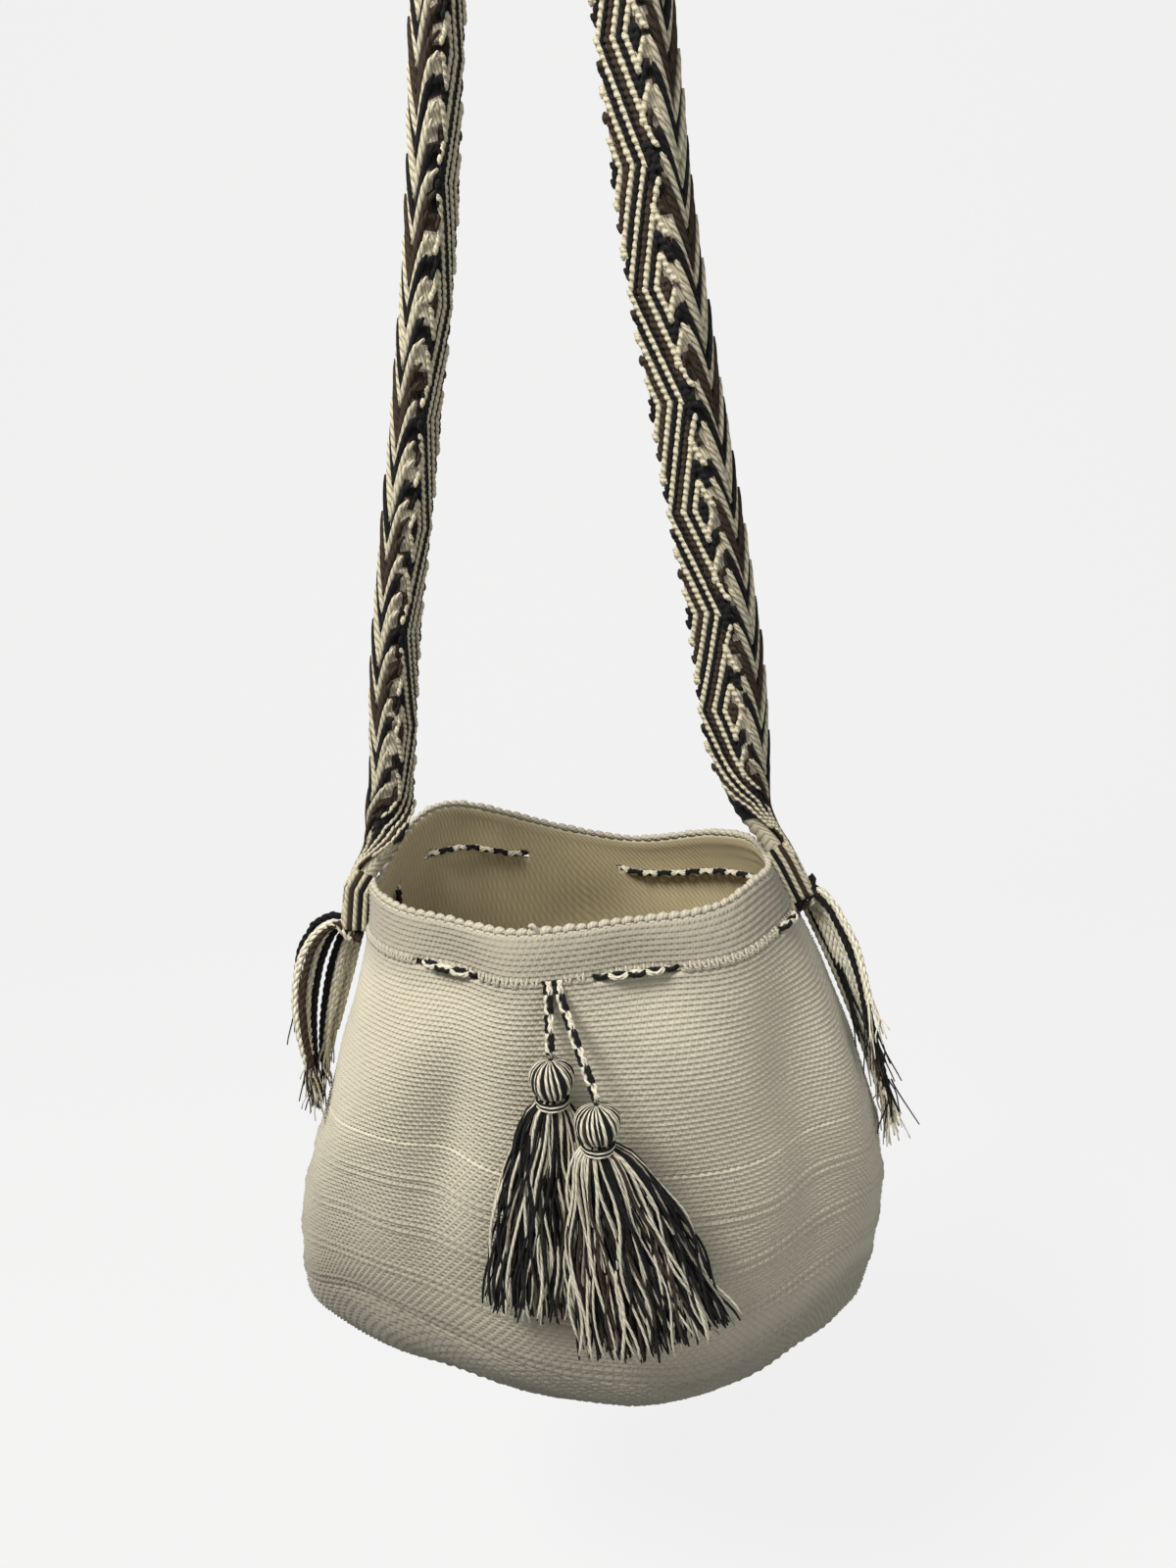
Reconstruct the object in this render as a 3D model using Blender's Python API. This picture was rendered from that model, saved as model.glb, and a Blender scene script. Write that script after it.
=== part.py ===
"""A crocheted drawstring shoulder bag with a woven strap, strap fringes and two tassels.

Metres, +Z up. The origin is the strap's seat, where the loop hangs over its support.
The bag's front faces -Y. Run with: blender --background --python part.py
"""

import math
from typing import NamedTuple

import bmesh
import bpy
import numpy as np
from mathutils import Matrix

# Bag wall: its outer face, as hung
RIM_DROP = 0.560
RIM_HALF_WIDTH = 0.100
RIM_HALF_DEPTH = 0.074
BELLY_HALF_WIDTH = 0.1585
BELLY_HALF_DEPTH = 0.081
WALL_LENGTH = 0.250
WALL_THICKNESS = 0.0028
WALL_FALL = 0.96
BASE_SAG = 0.056
LOWEST_X = 0.022
FRONT_FLATNESS = 0.42
COURSES = 13
COURSE_RELIEF = 0.0007

# Drawstring and its eyelets; angles in degrees round the bag, -90 at the front
CORD_DIAMETER = 0.0044
CORD_DEPTH = 0.022
CORD_CLEARANCE = 0.00145
CROSSING_LENGTH = 0.022
EYELET_PLAY = 0.0016
EYELET_ANGLES = (-86.8, -68.9, -31, -12, 79, 105, 140, 158, 226.4, 245.2)
FRONT_EYELET_ANGLE = -95.3
FRONT_EYELET_HEIGHT = 0.010
FRONT_CORD_SPACING = 0.0052

# Strap
STRAP_WIDTH = 0.043
STRAP_THICKNESS = 0.0055
STRAP_RELIEF = 0.0007
DIAMOND_LENGTH = 0.096
SUPPORT_RADIUS = 0.020
SEAT_LENGTH = 0.012
STRAP_SEWN_LENGTH = 0.020
SEWN_END_WIDTH = 0.0200
SEWN_END_THICKNESS = 0.0110

# Fringe cords at the strap's two ends
FRINGE_DIAMETER = 0.0042
FRINGE_PITCH = 0.0046
FRINGE_LENGTH = 0.132

# Tassels
HEAD_RADIUS = 0.0098
NECK_RADIUS = 0.0064
BINDING_DIAMETER = 0.0018
BINDING_TURNS = 2
BINDING_AROUND = 16
SKIRT_HALF_THICKNESS = 0.0070
STRAND_GROUPS = 14

# Fits
GAP = 0.0003
REST_GAP = 0.0005

# Fineness of the faceted forms
AROUND = 48
INNER_LEVELS = (0.0, 0.044, 0.088, 0.132, 0.21, 0.34, 0.50, 0.67, 0.84, 1.0)
BASE_RINGS = 5
NORMAL_STEP = 1e-3


class Wave(NamedTuple):
    """A local swell of the wall: where it is, how wide, and how much."""

    angle: float
    width: float
    size: float


RIM_WAVES = (
    Wave(133, 26, 0.017),
    Wave(70, 24, -0.011),
    Wave(-105, 22, -0.002),
    Wave(-30, 18, 0.004),
    Wave(172, 14, -0.009),
    Wave(20, 12, 0.002),
)
GATHERS = (
    Wave(-125, 13, -0.005),
    Wave(-104, 9, 0.003),
    Wave(-77, 12, -0.005),
    Wave(-50, 15, 0.004),
    Wave(92, 15, -0.004),
    Wave(122, 17, 0.004),
    Wave(45, 22, 0.004),
)
ROW_TILTS = (
    Wave(-74, 28, -0.018),
    Wave(-136, 31, 0.027),
    Wave(-38, 23, 0.013),
    Wave(90, 60, -0.006),
)
WALL_FOLDS = (
    Wave(-118, 8, -0.0075),
    Wave(-101, 9, 0.0030),
    Wave(-47, 10, -0.0055),
    Wave(-27, 9, 0.0030),
    Wave(60, 14, -0.0060),
    Wave(128, 12, -0.0050),
)


# The hanging strap's line: share of the way up to the support, share of the spread left
STRAP_LINE = (
    (0.045, 0.840),
    (0.100, 0.755),
    (0.180, 0.700),
    (0.260, 0.625),
    (0.420, 0.447),
    (0.560, 0.305),
    (0.680, 0.225),
    (0.840, 0.110),
    (0.960, 0.020),
)


class StrapSide(NamedTuple):
    """One half of the strap: its sewn end's angle on the bag, fold, twist and fringe."""

    name: str
    sign: int
    angle: float
    fold: float
    twist: float
    fringe_reach: float
    fringe_drift: float


LEFT = StrapSide("left", -1, 181.0, 66.0, 97.0, 0.018, 9.0)
RIGHT = StrapSide("right", 1, 3.0, 40.0, 74.0, 0.010, -20.0)


class Tassel(NamedTuple):
    """A tassel's place below the front eyelet and the spread of its skirt."""

    name: str
    side: int
    head_shift: float
    head_drop: float
    skirt_length: float
    skirt_lean: float
    skirt_half_width: float


LEFT_TASSEL = Tassel("left_tassel", -1, -0.002, 0.040, 0.130, -0.009, 0.031)
RIGHT_TASSEL = Tassel("right_tassel", 1, 0.0175, 0.055, 0.127, 0.024, 0.040)

CREAM = (0.80, 0.74, 0.60)
BLACK = (0.02, 0.02, 0.022)
BROWN = (0.12, 0.075, 0.045)
FRINGE_COLOURS = (CREAM, BLACK, CREAM, BROWN, CREAM, BLACK, CREAM, CREAM)

CORD_RADIUS = CORD_DIAMETER / 2
CORD_OFFSET = WALL_THICKNESS / 2 + CORD_RADIUS + CORD_CLEARANCE


def clear_scene():
    for item in list(bpy.data.objects):
        bpy.data.objects.remove(item, do_unlink=True)


def new_collection(name):
    collection = bpy.data.collections.new(name)
    bpy.context.scene.collection.children.link(collection)
    return collection


def yarn_material(name, colour, roughness=0.85):
    material = bpy.data.materials.new(name)
    material.use_nodes = True
    shader = material.node_tree.nodes["Principled BSDF"]
    shader.inputs["Base Color"].default_value = (*colour, 1)
    shader.inputs["Roughness"].default_value = roughness
    shader.inputs["Metallic"].default_value = 0.0
    return material


def add_mesh_object(name, mesh, collection, material, origin=(0.0, 0.0, 0.0)):
    """Puts a mesh made in world coordinates in the scene, with its origin at a point."""
    mesh.transform(Matrix.Translation(origin).inverted())
    item = bpy.data.objects.new(name, mesh)
    item.location = origin
    item.data.materials.append(material)
    collection.objects.link(item)
    return item


def hang_on(name, point, items, collection):
    """Parents pieces to an empty on their joint's axis, so that they turn about it."""
    pivot = bpy.data.objects.new(name, None)
    pivot.location = point
    pivot.empty_display_size = 0.02
    collection.objects.link(pivot)
    for item in items:
        item.parent = pivot
        item.matrix_parent_inverse = Matrix.Translation(point).inverted()


# Surface of the bag


def swell(angle, waves):
    """Sum of the waves at an angle, each a smooth hump."""
    total = 0.0
    for wave in waves:
        gap = (angle - wave.angle + 180.0) % 360.0 - 180.0
        total += wave.size * math.exp(-((gap / wave.width) ** 2))
    return total


def rounded(value, power):
    return math.copysign(abs(value) ** power, value)


def wall_point(angle, depth):
    """A point of the wall's outer face, at a row's depth below the rim."""
    share = min(depth / WALL_LENGTH, 1.0)
    flare = math.sin(1.6 * share) ** 1.15 if share > 0 else 0.0
    tuck = 0.003 * share**12
    half_width = RIM_HALF_WIDTH + (BELLY_HALF_WIDTH - RIM_HALF_WIDTH) * flare - tuck
    swelling = math.sin(math.pi * share**0.6)
    half_depth = RIM_HALF_DEPTH + (BELLY_HALF_DEPTH - RIM_HALF_DEPTH) * swelling - tuck
    centre_x = -0.002 + 0.009 * math.sin(math.pi * share**0.8)
    gather = swell(angle, GATHERS) * math.exp(-(((depth - CORD_DEPTH) / 0.032) ** 2))
    fold = swell(angle, WALL_FOLDS) * math.sin(math.pi * share) ** 2
    power = 2.0 / (2.12 + FRONT_FLATNESS * math.sin(math.pi * share))
    turn = math.radians(angle)
    x = centre_x + (half_width + gather + fold) * rounded(math.cos(turn), power)
    y = (half_depth + gather + fold) * rounded(math.sin(turn), power)
    z = -RIM_DROP - 0.003 - depth * WALL_FALL
    z += swell(angle, RIM_WAVES) * math.exp(-((depth / 0.05) ** 2))
    z += swell(angle, ROW_TILTS) * share**1.5
    z += 0.007 * math.cos(turn) ** 2 * share**2
    return np.array((x, y, z))


def base_point(angle, share):
    """A point of the sagging base: share 0 at the wall's last row, 1 at the lowest point."""
    edge = wall_point(angle, WALL_LENGTH)
    lowest_z = -RIM_DROP - 0.003 - WALL_LENGTH * WALL_FALL - BASE_SAG
    inwards = math.cos(share * math.pi / 2)
    x = LOWEST_X + (edge[0] - LOWEST_X) * inwards
    z = edge[2] + (lowest_z - edge[2]) * math.sin(share * math.pi / 2)
    return np.array((x, edge[1] * inwards, z))


def bag_point(angle, along):
    """Wall and base as one surface: along 0 to 1 down the wall, 1 to 2 across the base."""
    if along <= 1.0:
        return wall_point(angle, along * WALL_LENGTH)
    return base_point(angle, along - 1.0)


def bag_normal(angle, along):
    """The unit normal that points out of the bag."""
    low = max(along - NORMAL_STEP, 0.0)
    down = bag_point(angle, low + 2 * NORMAL_STEP) - bag_point(angle, low)
    side = bag_point(angle + 0.5, along) - bag_point(angle - 0.5, along)
    normal = np.cross(down, side)
    return normal / np.linalg.norm(normal)


def skin(angle, along, lift):
    """A point that stands a distance off the bag's outer face."""
    return bag_point(angle, along) + bag_normal(angle, along) * lift


def wall_tangent(angle, depth):
    """Level unit vector along a row, towards growing angle."""
    step = wall_point(angle + 0.5, depth) - wall_point(angle - 0.5, depth)
    step[2] = 0.0
    return step / np.linalg.norm(step)


def degree_length(angle, depth):
    """Length along a row for one degree round the bag."""
    return np.linalg.norm(wall_point(angle + 0.5, depth) - wall_point(angle - 0.5, depth))


def depth_at_height(angle, z):
    """Row depth where the wall passes a height."""
    low, high = 0.0, WALL_LENGTH
    for _ in range(24):
        middle = (low + high) / 2
        if wall_point(angle, middle)[2] > z:
            low = middle
        else:
            high = middle
    return low


# Mesh helpers


def loft(name, rings, first_tip=None, last_tip=None):
    """A closed mesh through rings of equally many points; tips close its two ends."""
    mesh = bmesh.new()
    loops = [[mesh.verts.new(point) for point in ring] for ring in rings]
    count = len(loops[0])
    for one, two in zip(loops, loops[1:]):
        for i in range(count):
            j = (i + 1) % count
            mesh.faces.new((one[i], one[j], two[j], two[i]))
    for loop, tip in ((loops[0], first_tip), (loops[-1], last_tip)):
        if tip is None:
            mesh.faces.new(loop)
            continue
        centre = mesh.verts.new(tip)
        for i in range(count):
            mesh.faces.new((loop[i], loop[(i + 1) % count], centre))
    bmesh.ops.recalc_face_normals(mesh, faces=mesh.faces)
    data = bpy.data.meshes.new(name)
    mesh.to_mesh(data)
    mesh.free()
    data.shade_smooth()
    return data


def smooth_path(points, spacing):
    """Evenly spaced points on the smooth curve through the given ones."""
    points = [np.array(point, float) for point in points]
    ends = [2 * points[0] - points[1]] + points + [2 * points[-1] - points[-2]]
    fine = []
    for a, b, c, d in zip(ends, ends[1:], ends[2:], ends[3:]):
        for step in range(16):
            t = step / 16
            fine.append(
                0.5 * (2 * b + (c - a) * t + (2 * a - 5 * b + 4 * c - d) * t**2
                       + (3 * b - a - 3 * c + d) * t**3)
            )
    fine.append(points[-1])
    fine = np.array(fine)
    lengths = np.linalg.norm(np.diff(fine, axis=0), axis=1)
    travelled = np.concatenate(([0.0], np.cumsum(lengths)))
    count = max(3, round(travelled[-1] / spacing) + 1)
    wanted = np.linspace(0.0, travelled[-1], count)
    return np.column_stack([np.interp(wanted, travelled, fine[:, k]) for k in range(3)])


def tube(name, points, diameter, collection, material, round_ends=False):
    """A cord as a bevelled curve, with its origin at its first point."""
    radius = diameter / 2
    origin = points[0]
    points = [np.array(point) - origin for point in points]
    scales = [1.0] * len(points)
    if round_ends:
        for _ in range(2):
            points, scales = round_off(points, scales, radius)
            points, scales = points[::-1], scales[::-1]
    curve = bpy.data.curves.new(name, "CURVE")
    curve.dimensions = "3D"
    curve.bevel_depth = radius
    curve.bevel_resolution = 2
    curve.use_fill_caps = True
    spline = curve.splines.new("POLY")
    spline.points.add(len(points) - 1)
    for spot, point, scale in zip(spline.points, points, scales):
        spot.co = (*point, 1.0)
        spot.radius = scale
    item = bpy.data.objects.new(name, curve)
    item.location = origin
    curve.materials.append(material)
    collection.objects.link(item)
    return item


def round_off(points, scales, radius):
    """Puts a ball end of the tube's radius round the first point of its line."""
    away = points[0] - points[1]
    away /= np.linalg.norm(away)
    extra = [points[0] + away * radius * 0.98, points[0] + away * radius * 0.6]
    return extra + points, [0.2, 0.8] + scales


# Bag body with its eyelets


def build_bag(collection, cutters, material):
    """One crocheted shell: raised courses outside, plain inside, open at the rim."""
    angles = [360.0 * i / AROUND for i in range(AROUND)]
    rings = []
    for k in range(BASE_RINGS, 0, -1):
        rings.append([skin(a, 1 + k / (BASE_RINGS + 1), 0) for a in angles])
    for k in range(2 * COURSES, -1, -1):
        lift = COURSE_RELIEF * (k % 2)
        rings.append([skin(a, k / (2 * COURSES), lift) for a in angles])
    for level in INNER_LEVELS:
        rings.append([skin(a, level, -WALL_THICKNESS) for a in angles])
    for k in range(1, BASE_RINGS + 1):
        rings.append([skin(a, 1 + k / (BASE_RINGS + 1), -WALL_THICKNESS) for a in angles])
    lowest = base_point(0.0, 1.0)
    inside_lowest = lowest + np.array((0, 0, WALL_THICKNESS))
    bag = add_mesh_object("bag_body", loft("bag_body", rings, lowest, inside_lowest),
                          collection, material)
    for number, angle in enumerate(EYELET_ANGLES):
        cut_eyelet(bag, f"eyelet_{number}", angle, eyelet_width(), eyelet_height(), cutters)
    cut_eyelet(bag, "eyelet_front", FRONT_EYELET_ANGLE, eyelet_width(),
               FRONT_EYELET_HEIGHT, cutters)
    return bag


def eyelet_width():
    """Room for the cord to cross the wall at the slope of its weave."""
    slope = math.atan(math.pi * CORD_OFFSET / CROSSING_LENGTH)
    return WALL_THICKNESS / math.tan(slope) + CORD_DIAMETER / math.sin(slope) + 2 * EYELET_PLAY


def eyelet_height():
    return CORD_DIAMETER + EYELET_PLAY


def cut_eyelet(bag, name, angle, width, height, cutters):
    """Cuts a slot with bevelled corners through the wall, along the cord's row."""
    out = bag_normal(angle, CORD_DEPTH / WALL_LENGTH)
    along = wall_point(angle + 3, CORD_DEPTH) - wall_point(angle - 3, CORD_DEPTH)
    along -= out * np.dot(along, out)
    along /= np.linalg.norm(along)
    up = np.cross(out, along)
    centre = skin(angle, CORD_DEPTH / WALL_LENGTH, -WALL_THICKNESS / 2)
    corner = 0.3 * height
    outline = []
    for u, v in ((-1, -1), (1, -1), (1, 1), (-1, 1)):
        pull = ((u * corner, 0), (0, v * corner))
        if u * v > 0:
            pull = pull[::-1]
        for du, dv in pull:
            outline.append((u * width / 2 - du, v * height / 2 - dv))
    reach = 4 * WALL_THICKNESS
    rings = []
    for side in (-reach, reach):
        rings.append([centre + along * u + up * v + out * side for u, v in outline])
    cutter = bpy.data.objects.new(name, loft(name, rings))
    cutter.hide_render = True
    cutter.display_type = "WIRE"
    cutters.objects.link(cutter)
    slot = bag.modifiers.new(name, "BOOLEAN")
    slot.operation = "DIFFERENCE"
    slot.object = cutter


# Drawstring


def weave_side(angle):
    """1 where the cord runs outside the wall, -1 inside, and a smooth pass at an eyelet."""
    stops = sorted((a, i % 2) for i, a in enumerate(EYELET_ANGLES))
    stops = [(FRONT_EYELET_ANGLE, 1)] + stops + [(FRONT_EYELET_ANGLE + 360.0, 0)]
    nearest, inwards = min(stops, key=lambda stop: abs(stop[0] - angle))
    run = (angle - nearest) * degree_length(nearest, CORD_DEPTH) / (CROSSING_LENGTH / 2)
    value = math.sin(max(-1.0, min(1.0, run)) * math.pi / 2)
    return -value if inwards else value


def drawstring_point(angle):
    """The cord's middle, measured from the flat facets of the wall."""
    lift = weave_side(angle) * CORD_OFFSET - WALL_THICKNESS / 2
    facet = 360.0 / AROUND
    before = math.floor(angle / facet) * facet
    share = (angle - before) / facet
    level = CORD_DEPTH / WALL_LENGTH
    return skin(before, level, lift) * (1 - share) + skin(before + facet, level, lift) * share


def drawstring_angles():
    """Closely spaced points where the cord crosses the wall, wider ones between."""
    margin = 0.95 * CORD_DIAMETER / degree_length(FRONT_EYELET_ANGLE, CORD_DEPTH)
    angles = [FRONT_EYELET_ANGLE + margin]
    stops = sorted(EYELET_ANGLES) + [FRONT_EYELET_ANGLE + 360.0]
    for stop in stops:
        reach = 0.5 * CROSSING_LENGTH / degree_length(stop, CORD_DEPTH)
        first = max(stop - reach, angles[-1] + 0.3 * reach)
        between = degree_length(stop, CORD_DEPTH) * (first - angles[-1]) / (2.6 * CORD_DIAMETER)
        angles.extend(np.linspace(angles[-1], first, max(2, round(between) + 1))[1:])
        if stop == stops[-1]:
            break
        angles.extend(stop + reach * share for share in (-0.62, -0.22, 0.22, 0.62, 1.0))
    angles.append(stops[-1] - margin)
    return angles


def build_drawstring(collection, material):
    """The threaded stretch: in and out of the eyelets, once round the mouth."""
    points = [drawstring_point(angle) for angle in drawstring_angles()]
    return tube("drawstring", points, CORD_DIAMETER, collection, material)


# Tassels and the cord ends that carry them


def front_exit():
    """Centre of the front eyelet, where it opens in the wall's outer face."""
    return skin(FRONT_EYELET_ANGLE, CORD_DEPTH / WALL_LENGTH, -WALL_THICKNESS / 6)


def cord_pivot(tassel):
    """Where a cord end leaves the front eyelet: the swing axis of what hangs on it."""
    sideways = wall_tangent(FRONT_EYELET_ANGLE, CORD_DEPTH)
    return front_exit() + sideways * tassel.side * FRONT_CORD_SPACING / 2


def foremost_wall(low_x, high_x, low_z, high_z):
    """The wall's smallest y within a window of the front, ridges included."""
    found = []
    for angle in np.arange(-150, -30, 2.5):
        for share in np.linspace(0.0, 1.0, 41):
            point = skin(angle, share, COURSE_RELIEF)
            if low_x <= point[0] <= high_x and low_z <= point[2] <= high_z:
                found.append(point[1])
    return min(found)


def head_centre(tassel):
    exit_point = front_exit()
    x = exit_point[0] + tassel.head_shift
    z = exit_point[2] - tassel.head_drop
    wall_y = foremost_wall(x - HEAD_RADIUS, x + HEAD_RADIUS, z - 3 * HEAD_RADIUS, z + HEAD_RADIUS)
    forward = REST_GAP + HEAD_RADIUS
    if tassel.side > 0:
        forward += SKIRT_HALF_THICKNESS * 1.06 + NECK_RADIUS + REST_GAP
    return np.array((x, wall_y - forward, z))


def skirt_back(tassel):
    """The plane that the skirt's back rests on: the wall, or the other tassel's skirt."""
    head = head_centre(LEFT_TASSEL)
    low_z = head[2] - LEFT_TASSEL.skirt_length - HEAD_RADIUS
    low_x = head[0] + LEFT_TASSEL.skirt_lean - LEFT_TASSEL.skirt_half_width
    wall_y = foremost_wall(low_x, -low_x, low_z - 0.03, head[2])
    back = wall_y - REST_GAP
    if tassel.side > 0:
        back -= 2 * SKIRT_HALF_THICKNESS * 1.06 + REST_GAP
    return back


def knot_point(tassel):
    """Centre of the cord's rounded end, just above the head: the tassel tips about it."""
    return head_centre(tassel) + np.array((0, 0, HEAD_RADIUS + GAP + CORD_RADIUS))


def cord_end_route(tassel):
    """From the eyelet, out over its lower lip and down to the tassel's head."""
    start = cord_pivot(tassel)
    knot = knot_point(tassel)
    lip_level = (CORD_DEPTH + 0.55 * FRONT_EYELET_HEIGHT) / WALL_LENGTH
    lip = skin(FRONT_EYELET_ANGLE, lip_level, CORD_RADIUS + 2.6 * REST_GAP)
    lip += wall_tangent(FRONT_EYELET_ANGLE, CORD_DEPTH) * tassel.side * FRONT_CORD_SPACING / 2
    middle = 0.5 * (lip + knot) + np.array((0.0, -0.0012, 0.0))
    return [start, lip, middle, knot]


def build_cord_end(tassel, collection, material):
    name = tassel.name.replace("tassel", "cord_end")
    points = smooth_path(cord_end_route(tassel), 1.2 * CORD_DIAMETER)
    return tube(name, points, CORD_DIAMETER, collection, material, round_ends=True)


def strand_ring(centre, half_width, half_depth, groups, ripple, ragged=0.0):
    """A level oval ring whose edge ripples once for each group of strands."""
    ring = []
    for i in range(2 * groups):
        turn = math.pi * i / groups
        scale = 1 + (ripple if i % 2 else -ripple)
        drop = ragged * ((i * 7) % 5 - 2) / 2
        ring.append(centre + np.array((
            half_width * scale * math.cos(turn), half_depth * scale * math.sin(turn), drop)))
    return ring


def neck_drop():
    """From the head's centre down to the middle of the binding."""
    return 0.92 * HEAD_RADIUS + BINDING_TURNS * BINDING_DIAMETER / 2


def build_tassel(tassel, collection, material):
    """A tied bundle of yarn: a round head, a bound neck and a flat, spreading skirt."""
    head = head_centre(tassel)
    rings = []
    for tilt in (66, 42, 18, -6, -30, -50):
        turn = math.radians(tilt)
        centre = head + np.array((0, 0, HEAD_RADIUS * math.sin(turn)))
        radius = HEAD_RADIUS * math.cos(turn)
        rings.append(strand_ring(centre, radius, radius, STRAND_GROUPS, 0.03))
    half_binding = BINDING_TURNS * BINDING_DIAMETER / 2
    for drop in (neck_drop() - half_binding, neck_drop() + half_binding):
        rings.append(strand_ring(head - np.array((0, 0, drop)), NECK_RADIUS, NECK_RADIUS,
                                 STRAND_GROUPS, 0.0))
    top = neck_drop() + half_binding
    for share in (0.06, 0.16, 0.32, 0.54, 0.78, 1.0):
        rings.append(skirt_ring(tassel, head, top, share))
    tip = head - np.array((-tassel.skirt_lean, 0, tassel.skirt_length - 0.014))
    tip[1] = skirt_back(tassel) - SKIRT_HALF_THICKNESS
    crown = head + np.array((0, 0, HEAD_RADIUS))
    return add_mesh_object(tassel.name, loft(tassel.name, rings, crown, tip),
                           collection, material, head)


def skirt_ring(tassel, head, top, share):
    """A section of the skirt, from the neck at 0 to the tips at 1."""
    spread = share**0.50
    half_width = NECK_RADIUS + (tassel.skirt_half_width - NECK_RADIUS) * spread
    half_depth = NECK_RADIUS + (SKIRT_HALF_THICKNESS - NECK_RADIUS) * min(1, 4 * share)
    x = head[0] + tassel.skirt_lean * share**0.8
    resting = skirt_back(tassel) - SKIRT_HALF_THICKNESS * 1.05
    settle = min(1.0, 2.6 * share)
    y = head[1] + (resting - head[1]) * settle**2 * (3 - 2 * settle)
    z = head[2] - top - (tassel.skirt_length - top) * share
    ragged = 0.003 if share == 1.0 else 0.0
    ring = strand_ring(np.array((x, y, z)), half_width, half_depth, STRAND_GROUPS, 0.05, ragged)
    for point in ring:
        point[2] += 0.6 * share * (point[0] - head[0]) ** 2 / tassel.skirt_length
    return ring


def build_binding(tassel, collection, material):
    """Yarn wound round the tassel's neck: its turns lie side by side as one ribbed ring."""
    head = head_centre(tassel)
    inner = NECK_RADIUS + GAP
    outline = [(inner, 0.5), (inner, -0.5)]
    for turn in range(BINDING_TURNS):
        level = (turn + 0.5) / BINDING_TURNS - 0.5
        for slant in (-60, -20, 20, 60):
            slant = math.radians(slant)
            reach = inner + BINDING_DIAMETER * (0.5 + 0.5 * math.cos(slant))
            outline.append((reach, level + 0.5 * math.sin(slant) / BINDING_TURNS))
    height = BINDING_TURNS * BINDING_DIAMETER
    form = bmesh.new()
    rings = []
    for i in range(BINDING_AROUND):
        turn = 2 * math.pi * i / BINDING_AROUND
        centre = head - np.array((0, 0, neck_drop()))
        rings.append([form.verts.new(centre + np.array((
            reach * math.cos(turn), reach * math.sin(turn), level * height)))
            for reach, level in outline])
    for i, ring in enumerate(rings):
        following = rings[(i + 1) % BINDING_AROUND]
        for j in range(len(outline)):
            k = (j + 1) % len(outline)
            form.faces.new((ring[j], following[j], following[k], ring[k]))
    bmesh.ops.recalc_face_normals(form, faces=form.faces)
    mesh = bpy.data.meshes.new(f"{tassel.name}_binding")
    form.to_mesh(mesh)
    form.free()
    return add_mesh_object(f"{tassel.name}_binding", mesh, collection, material)


# Strap


def sewn_end(side, rise):
    """Centre line of the sewn end: on the wall's outside, at a height above its lower end."""
    middle = wall_point(side.angle, STRAP_SEWN_LENGTH - rise)
    reach = 0.5 * SEWN_END_WIDTH / degree_length(side.angle, 0.0)
    foremost = 0.0
    for angle in np.linspace(side.angle - reach, side.angle + reach, 7):
        beside = wall_point(angle, depth_at_height(angle, middle[2]))
        foremost = max(foremost, side.sign * beside[0])
    lift = COURSE_RELIEF + REST_GAP + 1.06 * SEWN_END_THICKNESS / 2
    return np.array((side.sign * (foremost + lift), middle[1], middle[2]))


def strap_half(side):
    """Route of one half, from its sewn end up to the support."""
    points = [sewn_end(side, rise) for rise in np.linspace(0.0, STRAP_SEWN_LENGTH, 3)]
    foot = points[-1]
    top_x = SUPPORT_RADIUS + STRAP_THICKNESS / 2
    climb = -SUPPORT_RADIUS - foot[2]
    for share, spread in STRAP_LINE:
        x = top_x + (abs(foot[0]) - top_x) * spread
        points.append(np.array((side.sign * x, foot[1] * (1 - share), foot[2] + climb * share)))
    return points


def support_arc():
    """Over the support, with a short level seat in the middle."""
    radius = SUPPORT_RADIUS + STRAP_THICKNESS / 2
    bend = radius - SEAT_LENGTH / 2
    points = []
    for turn in (180, 157.5, 135, 112.5, 90, 90, 67.5, 45, 22.5, 0):
        shift = -SEAT_LENGTH / 2 if len(points) < 5 else SEAT_LENGTH / 2
        x = shift + bend * math.cos(math.radians(turn))
        z = radius - bend - SUPPORT_RADIUS + bend * math.sin(math.radians(turn))
        points.append(np.array((x, 0.0, z)))
    return points


def blend(value, low, high):
    """Smooth step from 0 at low to 1 at high."""
    t = min(1.0, max(0.0, (value - low) / (high - low)))
    return t * t * (3 - 2 * t)


def strap_section(point, tangent, side, travelled, sewn_share, fold_share):
    """One section: a band, folded lengthwise and twisted where it hangs free."""
    outwards = np.cross(tangent, np.array((0.0, 1.0, 0.0)))
    outwards /= np.linalg.norm(outwards)
    across = np.cross(tangent, outwards)
    twist = math.radians(side.twist) * fold_share
    fold = math.radians(side.fold) * fold_share
    crest = outwards * math.cos(twist) + across * math.sin(twist)
    width_way = across * math.cos(twist) - outwards * math.sin(twist)
    half_width = (STRAP_WIDTH + (SEWN_END_WIDTH - STRAP_WIDTH) * sewn_share) / 2
    thickness = STRAP_THICKNESS + (SEWN_END_THICKNESS - STRAP_THICKNESS) * sewn_share
    mid = point + crest * 0.5 * half_width * math.sin(fold)
    outer, inner = [], []
    for share in (-1.0, -0.66, -0.33, 0.0, 0.33, 0.66, 1.0):
        relief = woven_relief(share, travelled) * (1 - sewn_share)
        outer.append(folded(mid, width_way, crest, share, half_width, fold, thickness / 2 + relief))
    for share in (1.0, 0.5, 0.0, -0.5, -1.0):
        inner.append(folded(mid, width_way, crest, share, half_width, fold, -thickness / 2))
    return outer + inner


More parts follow.
